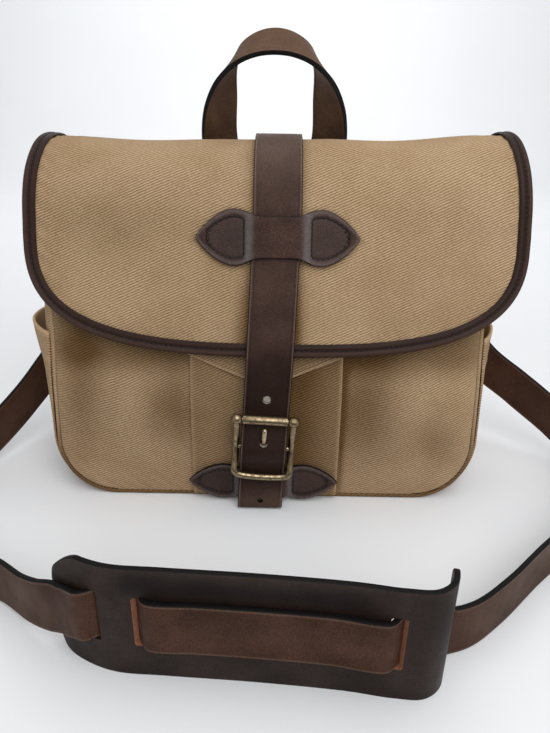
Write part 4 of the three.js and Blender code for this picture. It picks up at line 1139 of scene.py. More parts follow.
def pad_trim(share, corners):
    """Height that rounded corners take: tall (1 - (1 - s^k)^(1/k)), with s falling from 1 at an end to 0."""
    end = (share > 0.5).astype(int)
    short = np.clip(1 - np.minimum(share, 1 - share) * PAD_LENGTH / corners["long"][end], 0, 1)
    power = corners["power"][end]
    return corners["tall"][end] * (1 - (1 - short**power) ** (1 / power))


class FIELD_BAG_OT_shoulder_strap(bpy.types.Operator):
    """Make the shoulder strap from the back through the pad and round to the back"""

    bl_idname = "field_bag.shoulder_strap"
    bl_label = "Shoulder strap"

    def route(self, sizes):
        """The strap's given points from end to end."""
        off = sizes.pad_leather / 2 + 3 * GAP + sizes.strap_leather / 2
        back = back_y(STRAP_SEWN["x"], STRAP_SEWN["z"]) + GAP + sizes.strap_leather / 2
        sewn = stack(STRAP_SEWN["x"], back, STRAP_SEWN["z"])
        height = STRAP_ON_PAD - STRAP_WEAVE["drop"]
        woven = on_pad(pad_share(STRAP_WEAVE["x"]), height, STRAP_WEAVE["side"] * off)
        left, right = (points_of(held, "x", "y", "z") for held in (STRAP_LEFT, STRAP_RIGHT))
        return np.concatenate([sewn * (-1, 1, 1), left, woven, right, sewn[::-1]])

    def execute(self, context):
        """Flat section carried along a curve, its width upright but turned level at the sewn ends."""
        sizes = bag_sizes(context)
        points = self.route(sizes)
        u = np.linspace(0, 1, STRAP_STEPS * (len(points) - 1) + 1)
        line = curve(points, u)
        run = lengths(line)
        along = unit(np.gradient(line, axis=0))
        from_end = np.minimum(u, 1 - u)
        upright = ease(*STRAP_TURN, from_end)
        side = np.where(u < 0.5, -1.0, 1.0)
        edge = stack(side * (1 - upright), 0, upright)
        wide = unit(edge - along * (edge * along).sum(axis=1, keepdims=True))
        aside = rim_columns(25)
        width = sizes.strap_width - sizes.strap_leather / 2
        middle = line[:, None] + wide[:, None] * (aside * width)[None, :, None]
        uv = flat_uv(run[:, None], aside * width)
        # Painted highlights along both rims, a little paler down the middle, and painted light on a stretch
        # near each sewn end
        rims = 0.5 * bump(np.abs(aside) - 0.49, 0.015) + 0.08 * bump(aside, 0.3)
        wear = rims + 0.22 * bump(from_end - 0.2, 0.1)[:, None]
        shell = slab(middle, sizes.strap_leather / 2, uv, **STRAP_RIM, wear=wear, soil=0.0)
        strap = make_piece("shoulder_strap_leather", shell, "shoulder_leather", "leather", "shoulder_strap")
        return {"FINISHED"}


class FIELD_BAG_OT_shoulder_pad(bpy.types.Operator):
    """Make the slotted shoulder pad"""

    bl_idname = "field_bag.shoulder_pad"
    bl_label = "Shoulder pad"

    def execute(self, context):
        """Upright sheet on the pad's line, from trimmed foot to trimmed top, with slots cut through."""
        sizes = bag_sizes(context)
        half = sizes.pad_leather / 2
        rim = PAD_RIM * half
        turn = np.linspace(0, np.pi, 241)
        share = mix(rim / PAD_LENGTH, 1 - rim / PAD_LENGTH, mix(turn / np.pi, 0.5 - 0.5 * np.cos(turn), 0.5))
        foot = pad_trim(share, PAD_FOOT) + rim
        top = PAD_HEIGHT - pad_trim(share, PAD_TOP) - rim
        share = share[:, None]
        up = np.linspace(0, 1, 41)
        height = mix(foot[:, None], top[:, None], up)
        middle = on_pad(np.broadcast_to(share, height.shape), height, 0.0)
        uv = flat_uv(share * PAD_LENGTH, height)
        # Painted shadow above the strap, and a painted highlight along the top edge
        shade = bump(up - 0.86, 0.1) * ease(0.18, 0.26, share) * ease(0.8, 0.72, share)
        rubbed_and_highlit = (0.3 * bump(up - 1, 0.03) + 0.15 * bump(share - 0.5, 0.3)) * (1 - shade)
        shell = slab(middle, half, uv, square=3.5, edge=PAD_RIM, wear=rubbed_and_highlit, soil=shade)
        pad = make_mesh("shoulder_pad_leather", shell, "pad_leather")
        cut(pad, [self.slot(x, sizes) for x in PAD_SLOTS])
        settle(pad, "leather", "shoulder_pad")
        return {"FINISHED"}

    def slot(self, x, sizes):
        """Round-cornered prism through the pad at an X; an inner one leans, so its raw outer side shows."""
        inner = x in PAD_SLOTS[1:]
        low = inner and x < 0
        wide = PAD_SLOT_WIDTH / 2
        tall = PAD_SLOT_TALL / 2 - (PAD_SLOT_SHORT if low else 0)
        height = STRAP_ON_PAD - (PAD_SLOT_LOW if low else 0)
        ahead, behind = (on_pad(pad_share(x), height, k * sizes.pad_leather) for k in (-3, 3))
        centre = (ahead + behind) / 2
        through = unit(behind - ahead)
        way = np.cross(through, (0, 0, 1))
        a = np.linspace(-1, 1, 3)[:, None, None] * (tall - wide * PAD_SLOT_ROUND)
        b = np.linspace(-1, 1, 3)[None, :, None] * wide * (1 - PAD_SLOT_ROUND)
        middle = centre + b * way + a * np.array([0, 0, 1.0])
        shell = slab(middle, wide * PAD_SLOT_ROUND, np.zeros((3, 3, 2)), wear=0.0, soil=0.0)
        off = shell.points - centre
        points = shell.points + np.outer(np.sign(off @ through) * PAD_SLOT_CUT, through)
        if inner:
            outer = np.sign(x) * np.clip(np.sign(x) * (off @ way) / wide, 0, 1)
            deep = (points - centre) @ through
            bevel = PAD_SLOT_BEVEL * (-PAD_SLOT_BACK - deep / sizes.pad_leather)
            points = points + np.outer(outer * bevel, way)
        return make_mesh("slot", shell._replace(points=points), "raw_edge" if inner else "pad_leather")


# Body, pockets and flap


def front_fine(x, z):
    """Small relief of the front wall: puckers along its seam and a slow swell, still under the pocket."""
    inside = np.maximum(inside_outline(x, z) - PANEL_INSET, 0)
    pucker = 0.55 * np.sin(2 * np.pi * (np.abs(x) - z) / 11 + drift(x, z, 40, 4)) * np.exp(-inside / 9)
    swell = 0.7 * drift(x, z, 55, 3) * ease(0, 25, inside)
    return (pucker + swell) * ease(PLEAT_HALF_WIDTH + 2, PLEAT_HALF_WIDTH + 14, np.abs(x))


def back_fine(x, z):
    """Small relief of the back wall: a slow swell."""
    return 0.4 * drift(x, z, 70, 8)


def front_dirt_and_shade(x, z):
    """Soil and painted shade of the front wall: broad patches in its hollows, a painted shadow line beside
    the pleat and painted shade under the flap.
    """
    beside = 0.6 * bump(x - PLEAT_HALF_WIDTH - 2, 3)
    return np.clip(bells(FRONT_DIRT_AND_SHADE, "dark", x, z) + beside + 0.7 * ease(92, 114, z), 0, 1)


def back_dirt_and_shade(x, z):
    """Dirt and shade of the back wall: none but the darkening towards its foot that every wall has."""
    return np.zeros_like(x)


class FIELD_BAG_OT_body(bpy.types.Operator):
    """Make the front wall, the back wall and the gusset"""

    bl_idname = "field_bag.body"
    bl_label = "Body"

    def execute(self, context):
        canvas = bag_sizes(context).canvas
        self.wall("front_wall", "front_panel", front_y, -1, canvas, front_fine, front_dirt_and_shade)
        self.wall("back_wall", "back_panel", back_y, 1, canvas, back_fine, back_dirt_and_shade)
        self.gusset(canvas)
        return {"FINISHED"}

    def wall(self, name, node, face, way, canvas, fine, dirt_and_shade_at):
        """Columns across the body's outline, rows up its height; the face is the wall's outer side."""
        z = wall_heights(*WALL_ROWS)[:, None]
        x = np.linspace(-1, 1, 151)[None, :] * outline_half(z, PANEL_INSET + canvas / 2)
        inside = inside_outline(x, z) - PANEL_INSET
        y = face(x, z) + way * (fine(x, z) * ease(0, 6, inside) - canvas / 2)
        middle = stack(x, y, z)
        seam_near = np.exp(-np.maximum(inside, 0) / 7)
        uv = flat_uv(x, z)
        if way > 0:
            middle, uv, seam_near = (a[:, ::-1] for a in (middle, uv, seam_near))
        soil = dirt_and_shade_at(x, z) + 0.3 * ease(22, 0, z)
        shell = slab(middle[::-1], canvas / 2, uv[::-1], wear=0.35 * seam_near[::-1], soil=soil[::-1])
        make_piece(name, shell, "twill_canvas", "canvas", node)

    def gusset(self, canvas):
        """Strip along the U, bulged across."""
        t = np.linspace(0, 1, 301)[:, None]
        across = np.linspace(-1, 1, 41)[None, :]
        z = gusset_line(t, canvas)[1]
        wave = 0.8 * drift(GUSSET_HALF * t * 2, across * 50, 60, 12) * (1 - across**2) * ease(8, 40, z)
        middle = gusset_face(t, across, canvas / 2 + wave, canvas)
        uv = flat_uv(across * GUSSET_SPREAD, lengths(middle[:, 20])[:, None])
        soil = 0.4 * ease(30, 0, z) + np.zeros_like(across)
        shell = slab(middle[:, ::-1], canvas / 2, uv[:, ::-1], wear=0.0, soil=soil[:, ::-1])
        make_piece("gusset_strip", shell, "twill_canvas", "canvas", "gusset")


class FIELD_BAG_OT_piping(bpy.types.Operator):
    """Make the canvas piping in the two seams of the gusset"""

    bl_idname = "field_bag.piping"
    bl_label = "Piping"

    def execute(self, context):
        """Rod along each seam of the U, pinched a little between its stitches."""
        t = np.linspace(*PIPING_ENDS, 421)
        x, z = gusset_line(t, PIPING_RADIUS)[:2]
        for seam_name in ("front", "back"):
            line = stack(x, read(SEAMS, "z", seam_name, z), z)
            thick = PIPING_RADIUS * (1 + 0.05 * np.sin(lengths(line) / 3.1) + 0.04 * drift(x, z, 30, 21))
            shell = rod(line, np.minimum(thick, PIPING_RADIUS), (0, 1, 0), sides=5)
            shell = shell._replace(uv=shell.points[shell.faces][..., ::2] * MM)
            # Painted shadow along the piping's foot; paler higher up where it is rubbed
            foot = ease(70, 20, shell.points[:, 2])
            shell.marks.update(wear=0.3 * (1 - foot), soil=mix(0.15, 0.85, foot))
            make_piece(f"{seam_name}_seam_piping", shell, "twill_canvas", "canvas", f"{seam_name}_piping")
        return {"FINISHED"}


def point_face(share, down, lift):
    """Pointed flap: from a straight top edge down to an edge that falls to a point in its middle."""
    foot = mix(POINT_TIP, POINT_SIDE, np.abs(share) ** POINT_SWEEP)
    x, z = share * POINT_HALF, mix(POINT_TOP, foot, down)
    return stack(x, front_y(x, z) - POINT_LIFT - lift, z)


class FIELD_BAG_OT_front_pocket(bpy.types.Operator):
    """Make the pleat of the front pocket and its pointed flap"""

    bl_idname = "field_bag.front_pocket"
    bl_label = "Front pocket"

    def execute(self, context):
        sizes = bag_sizes(context)
        self.pleat(sizes)
        self.point(sizes)
        return {"FINISHED"}

    def pleat_section(self):
        """Half round the fold from under to over, then the flat top, mirrored about the middle."""
        radius = (PLEAT_OVER - PLEAT_UNDER) / 2
        turn = np.linspace(-np.pi / 2, np.pi / 2, 13)
        fold_in = radius + 0.1
        bent_up = (PLEAT_OVER + PLEAT_UNDER) / 2 + radius * np.sin(turn)
        bent = np.stack([fold_in - radius * np.cos(turn), bent_up], axis=1)
        under = np.stack([np.linspace(PLEAT_FOLD, fold_in, 8)[:-1], np.full(7, PLEAT_UNDER)], axis=1)
        over_in = np.linspace(fold_in, PLEAT_HALF_WIDTH, 30)[1:]
        over = np.stack([over_in, PLEAT_OVER + 0.15 * ease(0, PLEAT_FOLD, over_in)], axis=1)
        left = np.concatenate([under, bent, over]) - (PLEAT_HALF_WIDTH, 0)
        return np.concatenate([left, left[-2::-1] * (-1, 1)])

    def pleat(self, sizes):
        """Section of a cloth strip folded under at both sides, carried up the front wall."""
        section = self.pleat_section()
        z = np.concatenate([wall_heights(*WALL_ROWS)[2:], [PLEAT_TOP]])
        z = np.sort(z[z <= PLEAT_TOP])[:, None]
        x = section[None, :, 0]
        swell = 0.35 * drift(x, z, 35, 31) * ease(PLEAT_HALF_WIDTH - 6, 30, np.abs(x))
        middle = stack(x, front_y(x, z) - section[None, :, 1] - swell, z)
        uv = flat_uv(lengths(section), z)
        fold = 0.55 * bump(np.abs(x) - PLEAT_HALF_WIDTH, 1.1) + 0 * z
        # Painted shade: the pleat lies in the flap's shade, darker beside the strap to the right and up
        # under the flap
        beside = 0.5 * bump(np.maximum(x - 18, 0), 25) * (x > 0)
        soil = 0.12 * ease(85, 115, z) + 0.53 + beside
        shell = slab(middle[::-1], sizes.pleat_canvas / 2, uv[::-1], wear=fold[::-1], soil=soil[::-1])
        make_piece("pleat_cloth", shell, "twill_canvas", "canvas", "pocket_pleat")

    def point(self, sizes):
        """Sheet on the pointed flap's surface, thicker in its hem."""
        share = np.linspace(-1, 1, 101)[None, :]
        down = np.linspace(0, 1, 33)[:, None]
        half = sizes.point_canvas / 2
        middle = point_face(share, down, half)
        hem = ease(0.72, 0.8, down) + 0 * share
        uv = flat_uv(middle[..., 0], middle[..., 2])
        rubbed_and_highlit = 0.45 * bump(down - 1, 0.03) + 0 * share
        # Painted shadow of the main flap, deepest at the top
        soil = mix(0.95, 0.55, down) + 0 * share
        shell = slab(middle, half * (0.7 + 0.3 * hem), uv, wear=rubbed_and_highlit, soil=soil)
        flap = make_piece("pocket_point_flap", shell, "twill_canvas", "canvas", "pocket_flap")


def pocket_face(across, share, lift, side, sizes):
    """Side pocket: the gusset's own face, standing off towards its mouth."""
    top, foot = gusset_share(POCKET_MOUTH_Z), gusset_share(POCKET_FOOT_Z)
    t = mix(top, foot, share)
    gape = POCKET_GAPE[side] * (1 - share) ** 3 * (1 - (across / POCKET_EDGE) ** 2)
    out = sizes.canvas + POCKET_OFF + gape + lift
    return gusset_face(t if side == "left" else 1 - t, across, out, sizes.canvas)


class FIELD_BAG_OT_side_pockets(bpy.types.Operator):
    """Make the two side pockets"""

    bl_idname = "field_bag.side_pockets"
    bl_label = "Side pockets"

    def execute(self, context):
        """Sheet on each pocket's surface, with a slow swell and a thicker hem at its mouth."""
        sizes = bag_sizes(context)
        share = np.linspace(0, 1, 81)[:, None]
        across = np.linspace(-POCKET_EDGE, POCKET_EDGE, 61)[None, :]
        calm = (1 - (across / POCKET_EDGE) ** 2) * ease(1, 0.8, share)
        hem = ease(POCKET_HEM + 0.02, POCKET_HEM - 0.02, share) + 0 * across
        half = sizes.pocket_canvas / 2 * (POCKET_THIN + HEM_SWELL * hem)
        uv = flat_uv(across * GUSSET_SPREAD, -share * POCKET_DROP)
        rubbed_and_highlit = 0.9 * bump(share, 0.02) + 0.5 * bump(share - POCKET_HEM, 0.02) + 0 * across
        soil = 0.35 * ease(0.8, 1, share) + 0 * across
        for seed, side in enumerate(POCKET_GAPE, start=40):
            wave = np.maximum(0.7 * drift(share * 100, across * 50, 45, seed), -0.4) * calm
            middle = pocket_face(across, share, sizes.pocket_canvas / 2 + wave, side, sizes)
            grid = [middle, half, uv, rubbed_and_highlit, soil]
            if side == "left":
                grid = [a[:, ::-1] for a in grid]
            shell = slab(*grid[:3], wear=grid[3], soil=grid[4])
            make_piece(f"{side}_pocket", shell, "twill_canvas", "canvas", f"side_pocket_{side}")
        return {"FINISHED"}


def strap_middle(share):
    """X of the closure strap's middle where it crosses the flap."""
    z = np.interp(share, FLAP_SHARES, FLAP_MIDDLE[:, 1])
    crest = FLAP_SHARES[np.argmax(FLAP_MIDDLE[:, 1])]
    return np.where(share < crest, STRAP_X["x"][-1], read(STRAP_X, "z", "x", z))


def flap_fine(share, aside):
    """Small relief of the flap: puckers by its binding, slow swell, dips in its top, still under leather."""
    edge = np.clip(aside / FLAP_HALF_WIDTH, -0.999, 0.999)
    low = flap_place(np.full_like(aside, 2.0), edge)[0]
    run = share * FLAP_LENGTH
    far = np.minimum((low - share) * FLAP_LENGTH, FLAP_HALF_WIDTH * 0.97 - np.abs(aside))
    far = np.maximum(far, 0)
    pucker = 0.5 * np.sin(2 * np.pi * (np.abs(aside) + run) / 12 + drift(aside, share * 240, 50, 6))
    pucker = pucker * np.exp(-far / 11) * ease(0, 5, far)
    swell = 0.9 * drift(aside, run, 85, 5) * ease(4, 30, far)
    dips = -1.3 * bump(share - 0.33, 0.1) * (bump(aside + 92, 38) + bump(aside - 86, 42))
    strap = ease(36, 22, np.abs(aside + FLAP_SHIFT - strap_middle(share)))
    keeper = bump(run - flap_share(KEEPER_Z) * FLAP_LENGTH, 26) * ease(76, 58, np.abs(aside))
    near = np.maximum(strap, keeper)
    return (pucker + swell + dips) * (1 - near) - 0.15 * near


def flap_painted_shade(share, aside):
    """Painted shade of the flap: shadow beside the strap, wider on the left and lower down, round the
    keeper, and broad shade over its left side and towards its lower edge.
    """
    keeper = flap_share(KEEPER_Z)
    low = ease(keeper, 0.95, share)
    off = aside + FLAP_SHIFT - strap_middle(share)
    beside = np.maximum(np.abs(off) - STRAP_SIDE, 0)
    left = mix(0.45, 0.85, low) * bump(beside, mix(3.0, 8.0, low))
    right = mix(0.55, 1.0, low) * bump(beside, mix(2.6, 5.0, low))
    x, up = aside + FLAP_SHIFT - KEEPER_X, (keeper - share) * FLAP_LENGTH
    clear = np.maximum(np.abs(up) - oval_half(np.minimum(np.abs(x), OVAL_END), 1.0), 0)
    clear = np.hypot(clear, np.maximum(np.abs(x) - OVAL_END, 0))
    round_keeper = np.where(up < 0, 0.6, 0.35) * bump(clear, np.where(up < 0, 3.2, 2.0))
    strap = np.where(off < 0, left, right)
    broad = 0.1 * ease(20, -40, aside) + 0.24 * bump(aside + 105, 45) * bump(share - keeper + 0.04, 0.09)
    return np.clip(np.maximum(strap, round_keeper) + broad + 0.03 * ease(0.55, 1.0, share), 0, 1)


class FIELD_BAG_OT_flap(bpy.types.Operator):
    """Make the canvas flap"""

    bl_idname = "field_bag.flap"
    bl_label = "Flap"

    def execute(self, context):
        """Sheet on the flap's surface, raised and sunk by its small relief."""
        sizes = bag_sizes(context)
        down = np.concatenate([np.linspace(0, 1, 110), np.linspace(1, 2, 40)[1:]])[:, None]
        share, aside = flap_place(down, flap_columns(201) + 0 * down)
        half = sizes.flap_canvas / 2
        middle = on_flap(share, aside, half + flap_fine(share, aside))
        uv = flat_uv(aside, -share * FLAP_LENGTH)
        # Paler band near the crest: painted top light
        rubbed_and_highlit = 0.1 * bump(share - 0.36, 0.1) * ease(20, 60, np.abs(aside))
        shell = slab(middle, half, uv, wear=rubbed_and_highlit, soil=flap_painted_shade(share, aside))
        flap = make_piece("flap_cloth", shell, "twill_canvas", "canvas", "flap")
        rows, columns = (np.linalg.norm(np.diff(middle, axis=k), axis=2) for k in (0, 1))
        return {"FINISHED"}


def binding_frame(count, sizes):
    """Edge of the flap's canvas at its middle: places, and the ways out and up."""
    share, aside = flap_edge(count)
    edge = on_flap(share, aside, sizes.flap_canvas / 2)
    along = unit(np.gradient(edge, axis=0))
    up = on_flap(share, aside, 1.0) - on_flap(share, aside, 0.0)
    out = unit(np.cross(along, up))
    return edge, out, unit(np.cross(out, along))


class FIELD_BAG_OT_binding(bpy.types.Operator):
    """Make the leather binding round the flap's free edge"""

    bl_idname = "field_bag.binding"
    bl_label = "Binding"

    def execute(self, context):
        """Folded section with a stitch groove carried along the flap's edge, swelling a little."""
        sizes = bag_sizes(context)
        edge, out, up = binding_frame(600, sizes)
        section = smooth_line(points_of(BINDING_SECTION, "out", "lift"), 33)
        run = lengths(edge)
        swell = 1 + 0.06 * drift(run, 0 * run, 26, 17)[:, None]
        a, b = section[None, :, 0] * np.ones_like(swell), section[None, :, 1] * swell
        middle = edge[:, None] + out[:, None] * a[..., None] + up[:, None] * b[..., None]
        uv = flat_uv(run[:, None], lengths(section))
        above = b > 0
        # Painted shade in the stitch groove, a darker inner flange, and painted highlights along the outer
        # roll and the flange's edge
        groove = bump(a - BINDING_GROOVE[0], 0.6) * above
        crown = (bump(a - 0.4, 0.8) + 0.4 * bump(a + 4.4, 0.6)) * above
        flange = 0.5 * ease(-2.2, -3.0, a) * above
        soil = np.maximum(groove, flange)
        shell = slab(middle, sizes.binding_leather / 2, uv, square=3, wear=0.2 * crown, soil=soil)
        make_piece("flap_edge_binding", shell, "binding_leather", "leather", "flap_binding")
        return {"FINISHED"}


# Closure strap, keeper and buckle


def closure_line(sizes):
    """Middle of the closure strap from its end on the back, over the flap and down through the buckle."""
    edge, rise = flap_share(FLAP_EDGE_Z), flap_share(STRAP_RISE_Z)
    share = np.linspace(STRAP_FROM, edge, 25)
    lift = sizes.flap_canvas + 2 * GAP + sizes.strap_leather / 2
    lift = lift + STRAP_OVER_BINDING * ease(rise, edge - 0.03, share)
    over = on_flap(share, 0 * share, lift)[:, 1:]
    return smooth_line(np.concatenate([over, points_of(STRAP_DROP, "y", "z")]), 361)


class FIELD_BAG_OT_closure_strap(bpy.types.Operator):
    """Make the strap over the flap, with its punched holes"""

    bl_idname = "field_bag.closure_strap"
    bl_label = "Closure strap"

    def execute(self, context):
        """Flat section, creased by both rims, carried down the strap's line and shifted aside by height."""
        sizes = bag_sizes(context)
        line = closure_line(sizes)
        y, z = line[:, :1], line[:, 1:]
        run = lengths(line)[:, None]
        fore = run > run[-1] / 2
        crest = STRAP_X["z"][-1]
        height = np.where(fore, np.clip(z, 0, crest), crest)
        aside = rim_columns(41)[None, :]
        width = sizes.strap_width - sizes.strap_leather / 2
        middle = stack(read(STRAP_X, "z", "x", height) + aside * width, y, z)
        crease = bump(np.abs(aside) - 0.44, 0.016) + 0 * run
        half = sizes.strap_leather / 2 - 0.22 * crease
        uv = flat_uv(run, aside * width)
        # Painted light and shade: a paler tail where it turns up, pale highlight lines along the rims,
        # lighter over the crest, and shade on the lower front and in the creases
        tail = 0.25 * ease(26, 4, z) * fore
        rims = 0.7 * bump(np.abs(aside) - 0.49, 0.012)
        top = 0.45 * bump(z - crest, 26) + 0.07 * bump(z - 165, 30) * fore
        low = 0.8 * ease(140, 105, z) * fore + 0.4 * crease
        wear, soil = np.clip(top + tail + rims, 0, 1), np.clip(low - 3 * tail, 0, 1)
        shell = slab(middle, half, uv, **STRAP_RIM, wear=wear, soil=soil)
        strap = make_mesh("closure_strap_leather", shell, "strap_leather")
        rows = zip(STRAP_HOLES["z"], STRAP_HOLES["radius"], HOLE_FINISHES)
        cut(strap, [self.punch(*row) for row in rows])
        settle(strap, "leather", "closure_strap")
        self.fibre(line, STRAP_HOLES["z"][0], STRAP_HOLES["radius"][0])
        return {"FINISHED"}

    def punch(self, z, radius, finish):
        """Round punch through the strap at a height, and the finish that it leaves."""
        line = stack(read(STRAP_X, "z", "x", z), np.linspace(*PUNCH_REACH, 3), z)
        return make_mesh("punch", rod(line, radius, (1, 0, 0)), finish)

    def fibre(self, line, z, radius):
        """Pale fibre that shows in the empty hole: a low disc behind the strap's face."""
        x = float(read(STRAP_X, "z", "x", z))
        front = line[len(line) // 2 :]
        y = float(np.interp(-z, -front[:, 1], front[:, 0]))
        place = stack(x, y + np.array(FIBRE_DEPTH), z)
        shell = rod(place, radius * FIBRE_SHARE, (1, 0, 0), sides=5)
        clean = np.zeros(len(shell.points))
        shell.marks.update(wear=clean, soil=clean)
        flat = shell.points.copy()
        flat[:, 1] = np.clip(flat[:, 1], *(y + np.array(FIBRE_FACES)))
        make_piece("hole_fibre", shell._replace(points=flat), "pale_fibre", "leather")


def oval_half(x, tall):
    """Half the height of the pointed oval along its length."""
    return read(OVAL, "x", "half", np.abs(x)) * tall


def lobe_inset(tall):
    """How far inside an oval's edge its stitches run, less in a lower oval."""
    return LOBE_INSET * (0.55 + 0.45 * tall)


def keeper_face(x, up, lift, sizes):
    """Upper keeper on the flap, humped over the strap."""
    over = sizes.flap_canvas + sizes.strap_leather + 3 * GAP
    hump = mix(over, sizes.flap_canvas + GAP, ease(*KEEPER_HUMP, np.abs(x)))
    share = flap_share(KEEPER_Z) - up / FLAP_LENGTH
    return on_flap(share, KEEPER_X - FLAP_SHIFT + x, hump + lift)


def patch_face(x, up, lift, sizes):
    """Buckle patch on the pocket, humped over the chape."""
    z = PATCH_Z + up
    over = 1 - ease(*PATCH_HUMP, np.abs(x))
    low = front_y(PATCH_X + x, np.maximum(z, PATCH_FLAT_Z)) - PATCH_LOW
    return stack(PATCH_X + x, mix(low, PATCH_MIDDLE_Y, over) - lift, z)


def lobe_line(side, tall, count=240):
    """Closed stitch line of one lobe: straight across its inner end, then inside the oval's edge."""
    x = np.linspace(LOBE_FROM, LOBE_TIP, count)
    inside = np.maximum(oval_half(x, tall) - lobe_inset(tall), 0)
    half = inside * np.sqrt(1 - ease(LOBE_TIP - 5, LOBE_TIP, x))
    up = np.concatenate([half, -half[::-1], [half[0]]])
    line = np.stack([side * np.concatenate([x, x[::-1], x[:1]]), up], axis=1)
    return even(line, 2 * count)


class FIELD_BAG_OT_keepers(bpy.types.Operator):
    """Make the upper keeper and the buckle patch"""

    bl_idname = "field_bag.keepers"
    bl_label = "Keeper and buckle patch"

    def execute(self, context):
        sizes = bag_sizes(context)
        self.oval("keeper_oval", keeper_face, "upper_keeper", 1.0, sizes)
        self.oval("patch_oval", patch_face, "buckle_patch", PATCH_TALL, sizes)
        return {"FINISHED"}

    def oval(self, name, face, node, tall, sizes):
        """Pointed oval: stations along it, columns across its height; dished inside its stitch lines."""
        turn = np.linspace(-np.pi / 2, np.pi / 2, 161)[:, None]
        x = OVAL_END * np.sin(turn)
        reach = oval_half(x, tall)
        up = np.linspace(-1, 1, 41)[None, :] * reach
        aside = np.abs(x)
        in_lobe = ease(LOBE_FROM - 0.8, LOBE_FROM + 0.8, aside)
        deep = reach - np.abs(up) - lobe_inset(tall)
        inside = np.minimum(deep, LOBE_TIP - aside)
        dish = in_lobe * ease(-0.8, 0.9, inside)
        groove = np.maximum(bump(inside, 0.9) * in_lobe, bump(aside - LOBE_FROM, 0.9) * (inside > 0))
        half = sizes.keeper_leather / 2
        middle = face(x + 0 * up, up, half - LOBE_DISH * (dish + groove), sizes)
        # Painted reflection on the slopes off the strap and painted highlight along the rim; painted shade
        # in the stitch grooves and the dish
        slope = 0.75 * bump(aside - 19.5, 2.8) * (1 - groove)
        edge = 0.4 * bump(deep + LOBE_INSET * 0.75, 1.2) * ease(18, 24, aside)
        wear = np.clip(slope + edge + 0.09 * dish * (1 - groove), 0, 1)
        soil = np.clip(0.3 * dish + groove, 0, 1)
        shell = slab(middle, half - 0.2 * dish, flat_uv(x, up), **KEEPER_RIM, wear=wear, soil=soil)
        make_piece(name, shell, "keeper_leather", "leather", node)


def lean(shell):
    """A shell of the buckle turned about its centre bar to the strap's lean."""
    middle = np.array([BUCKLE_X, 0.0, CENTRE_Z])
    turn = np.array(Matrix.Rotation(BUCKLE_LEAN, 3, "Y"))
    return shell._replace(points=(shell.points - middle) @ turn.T + middle)


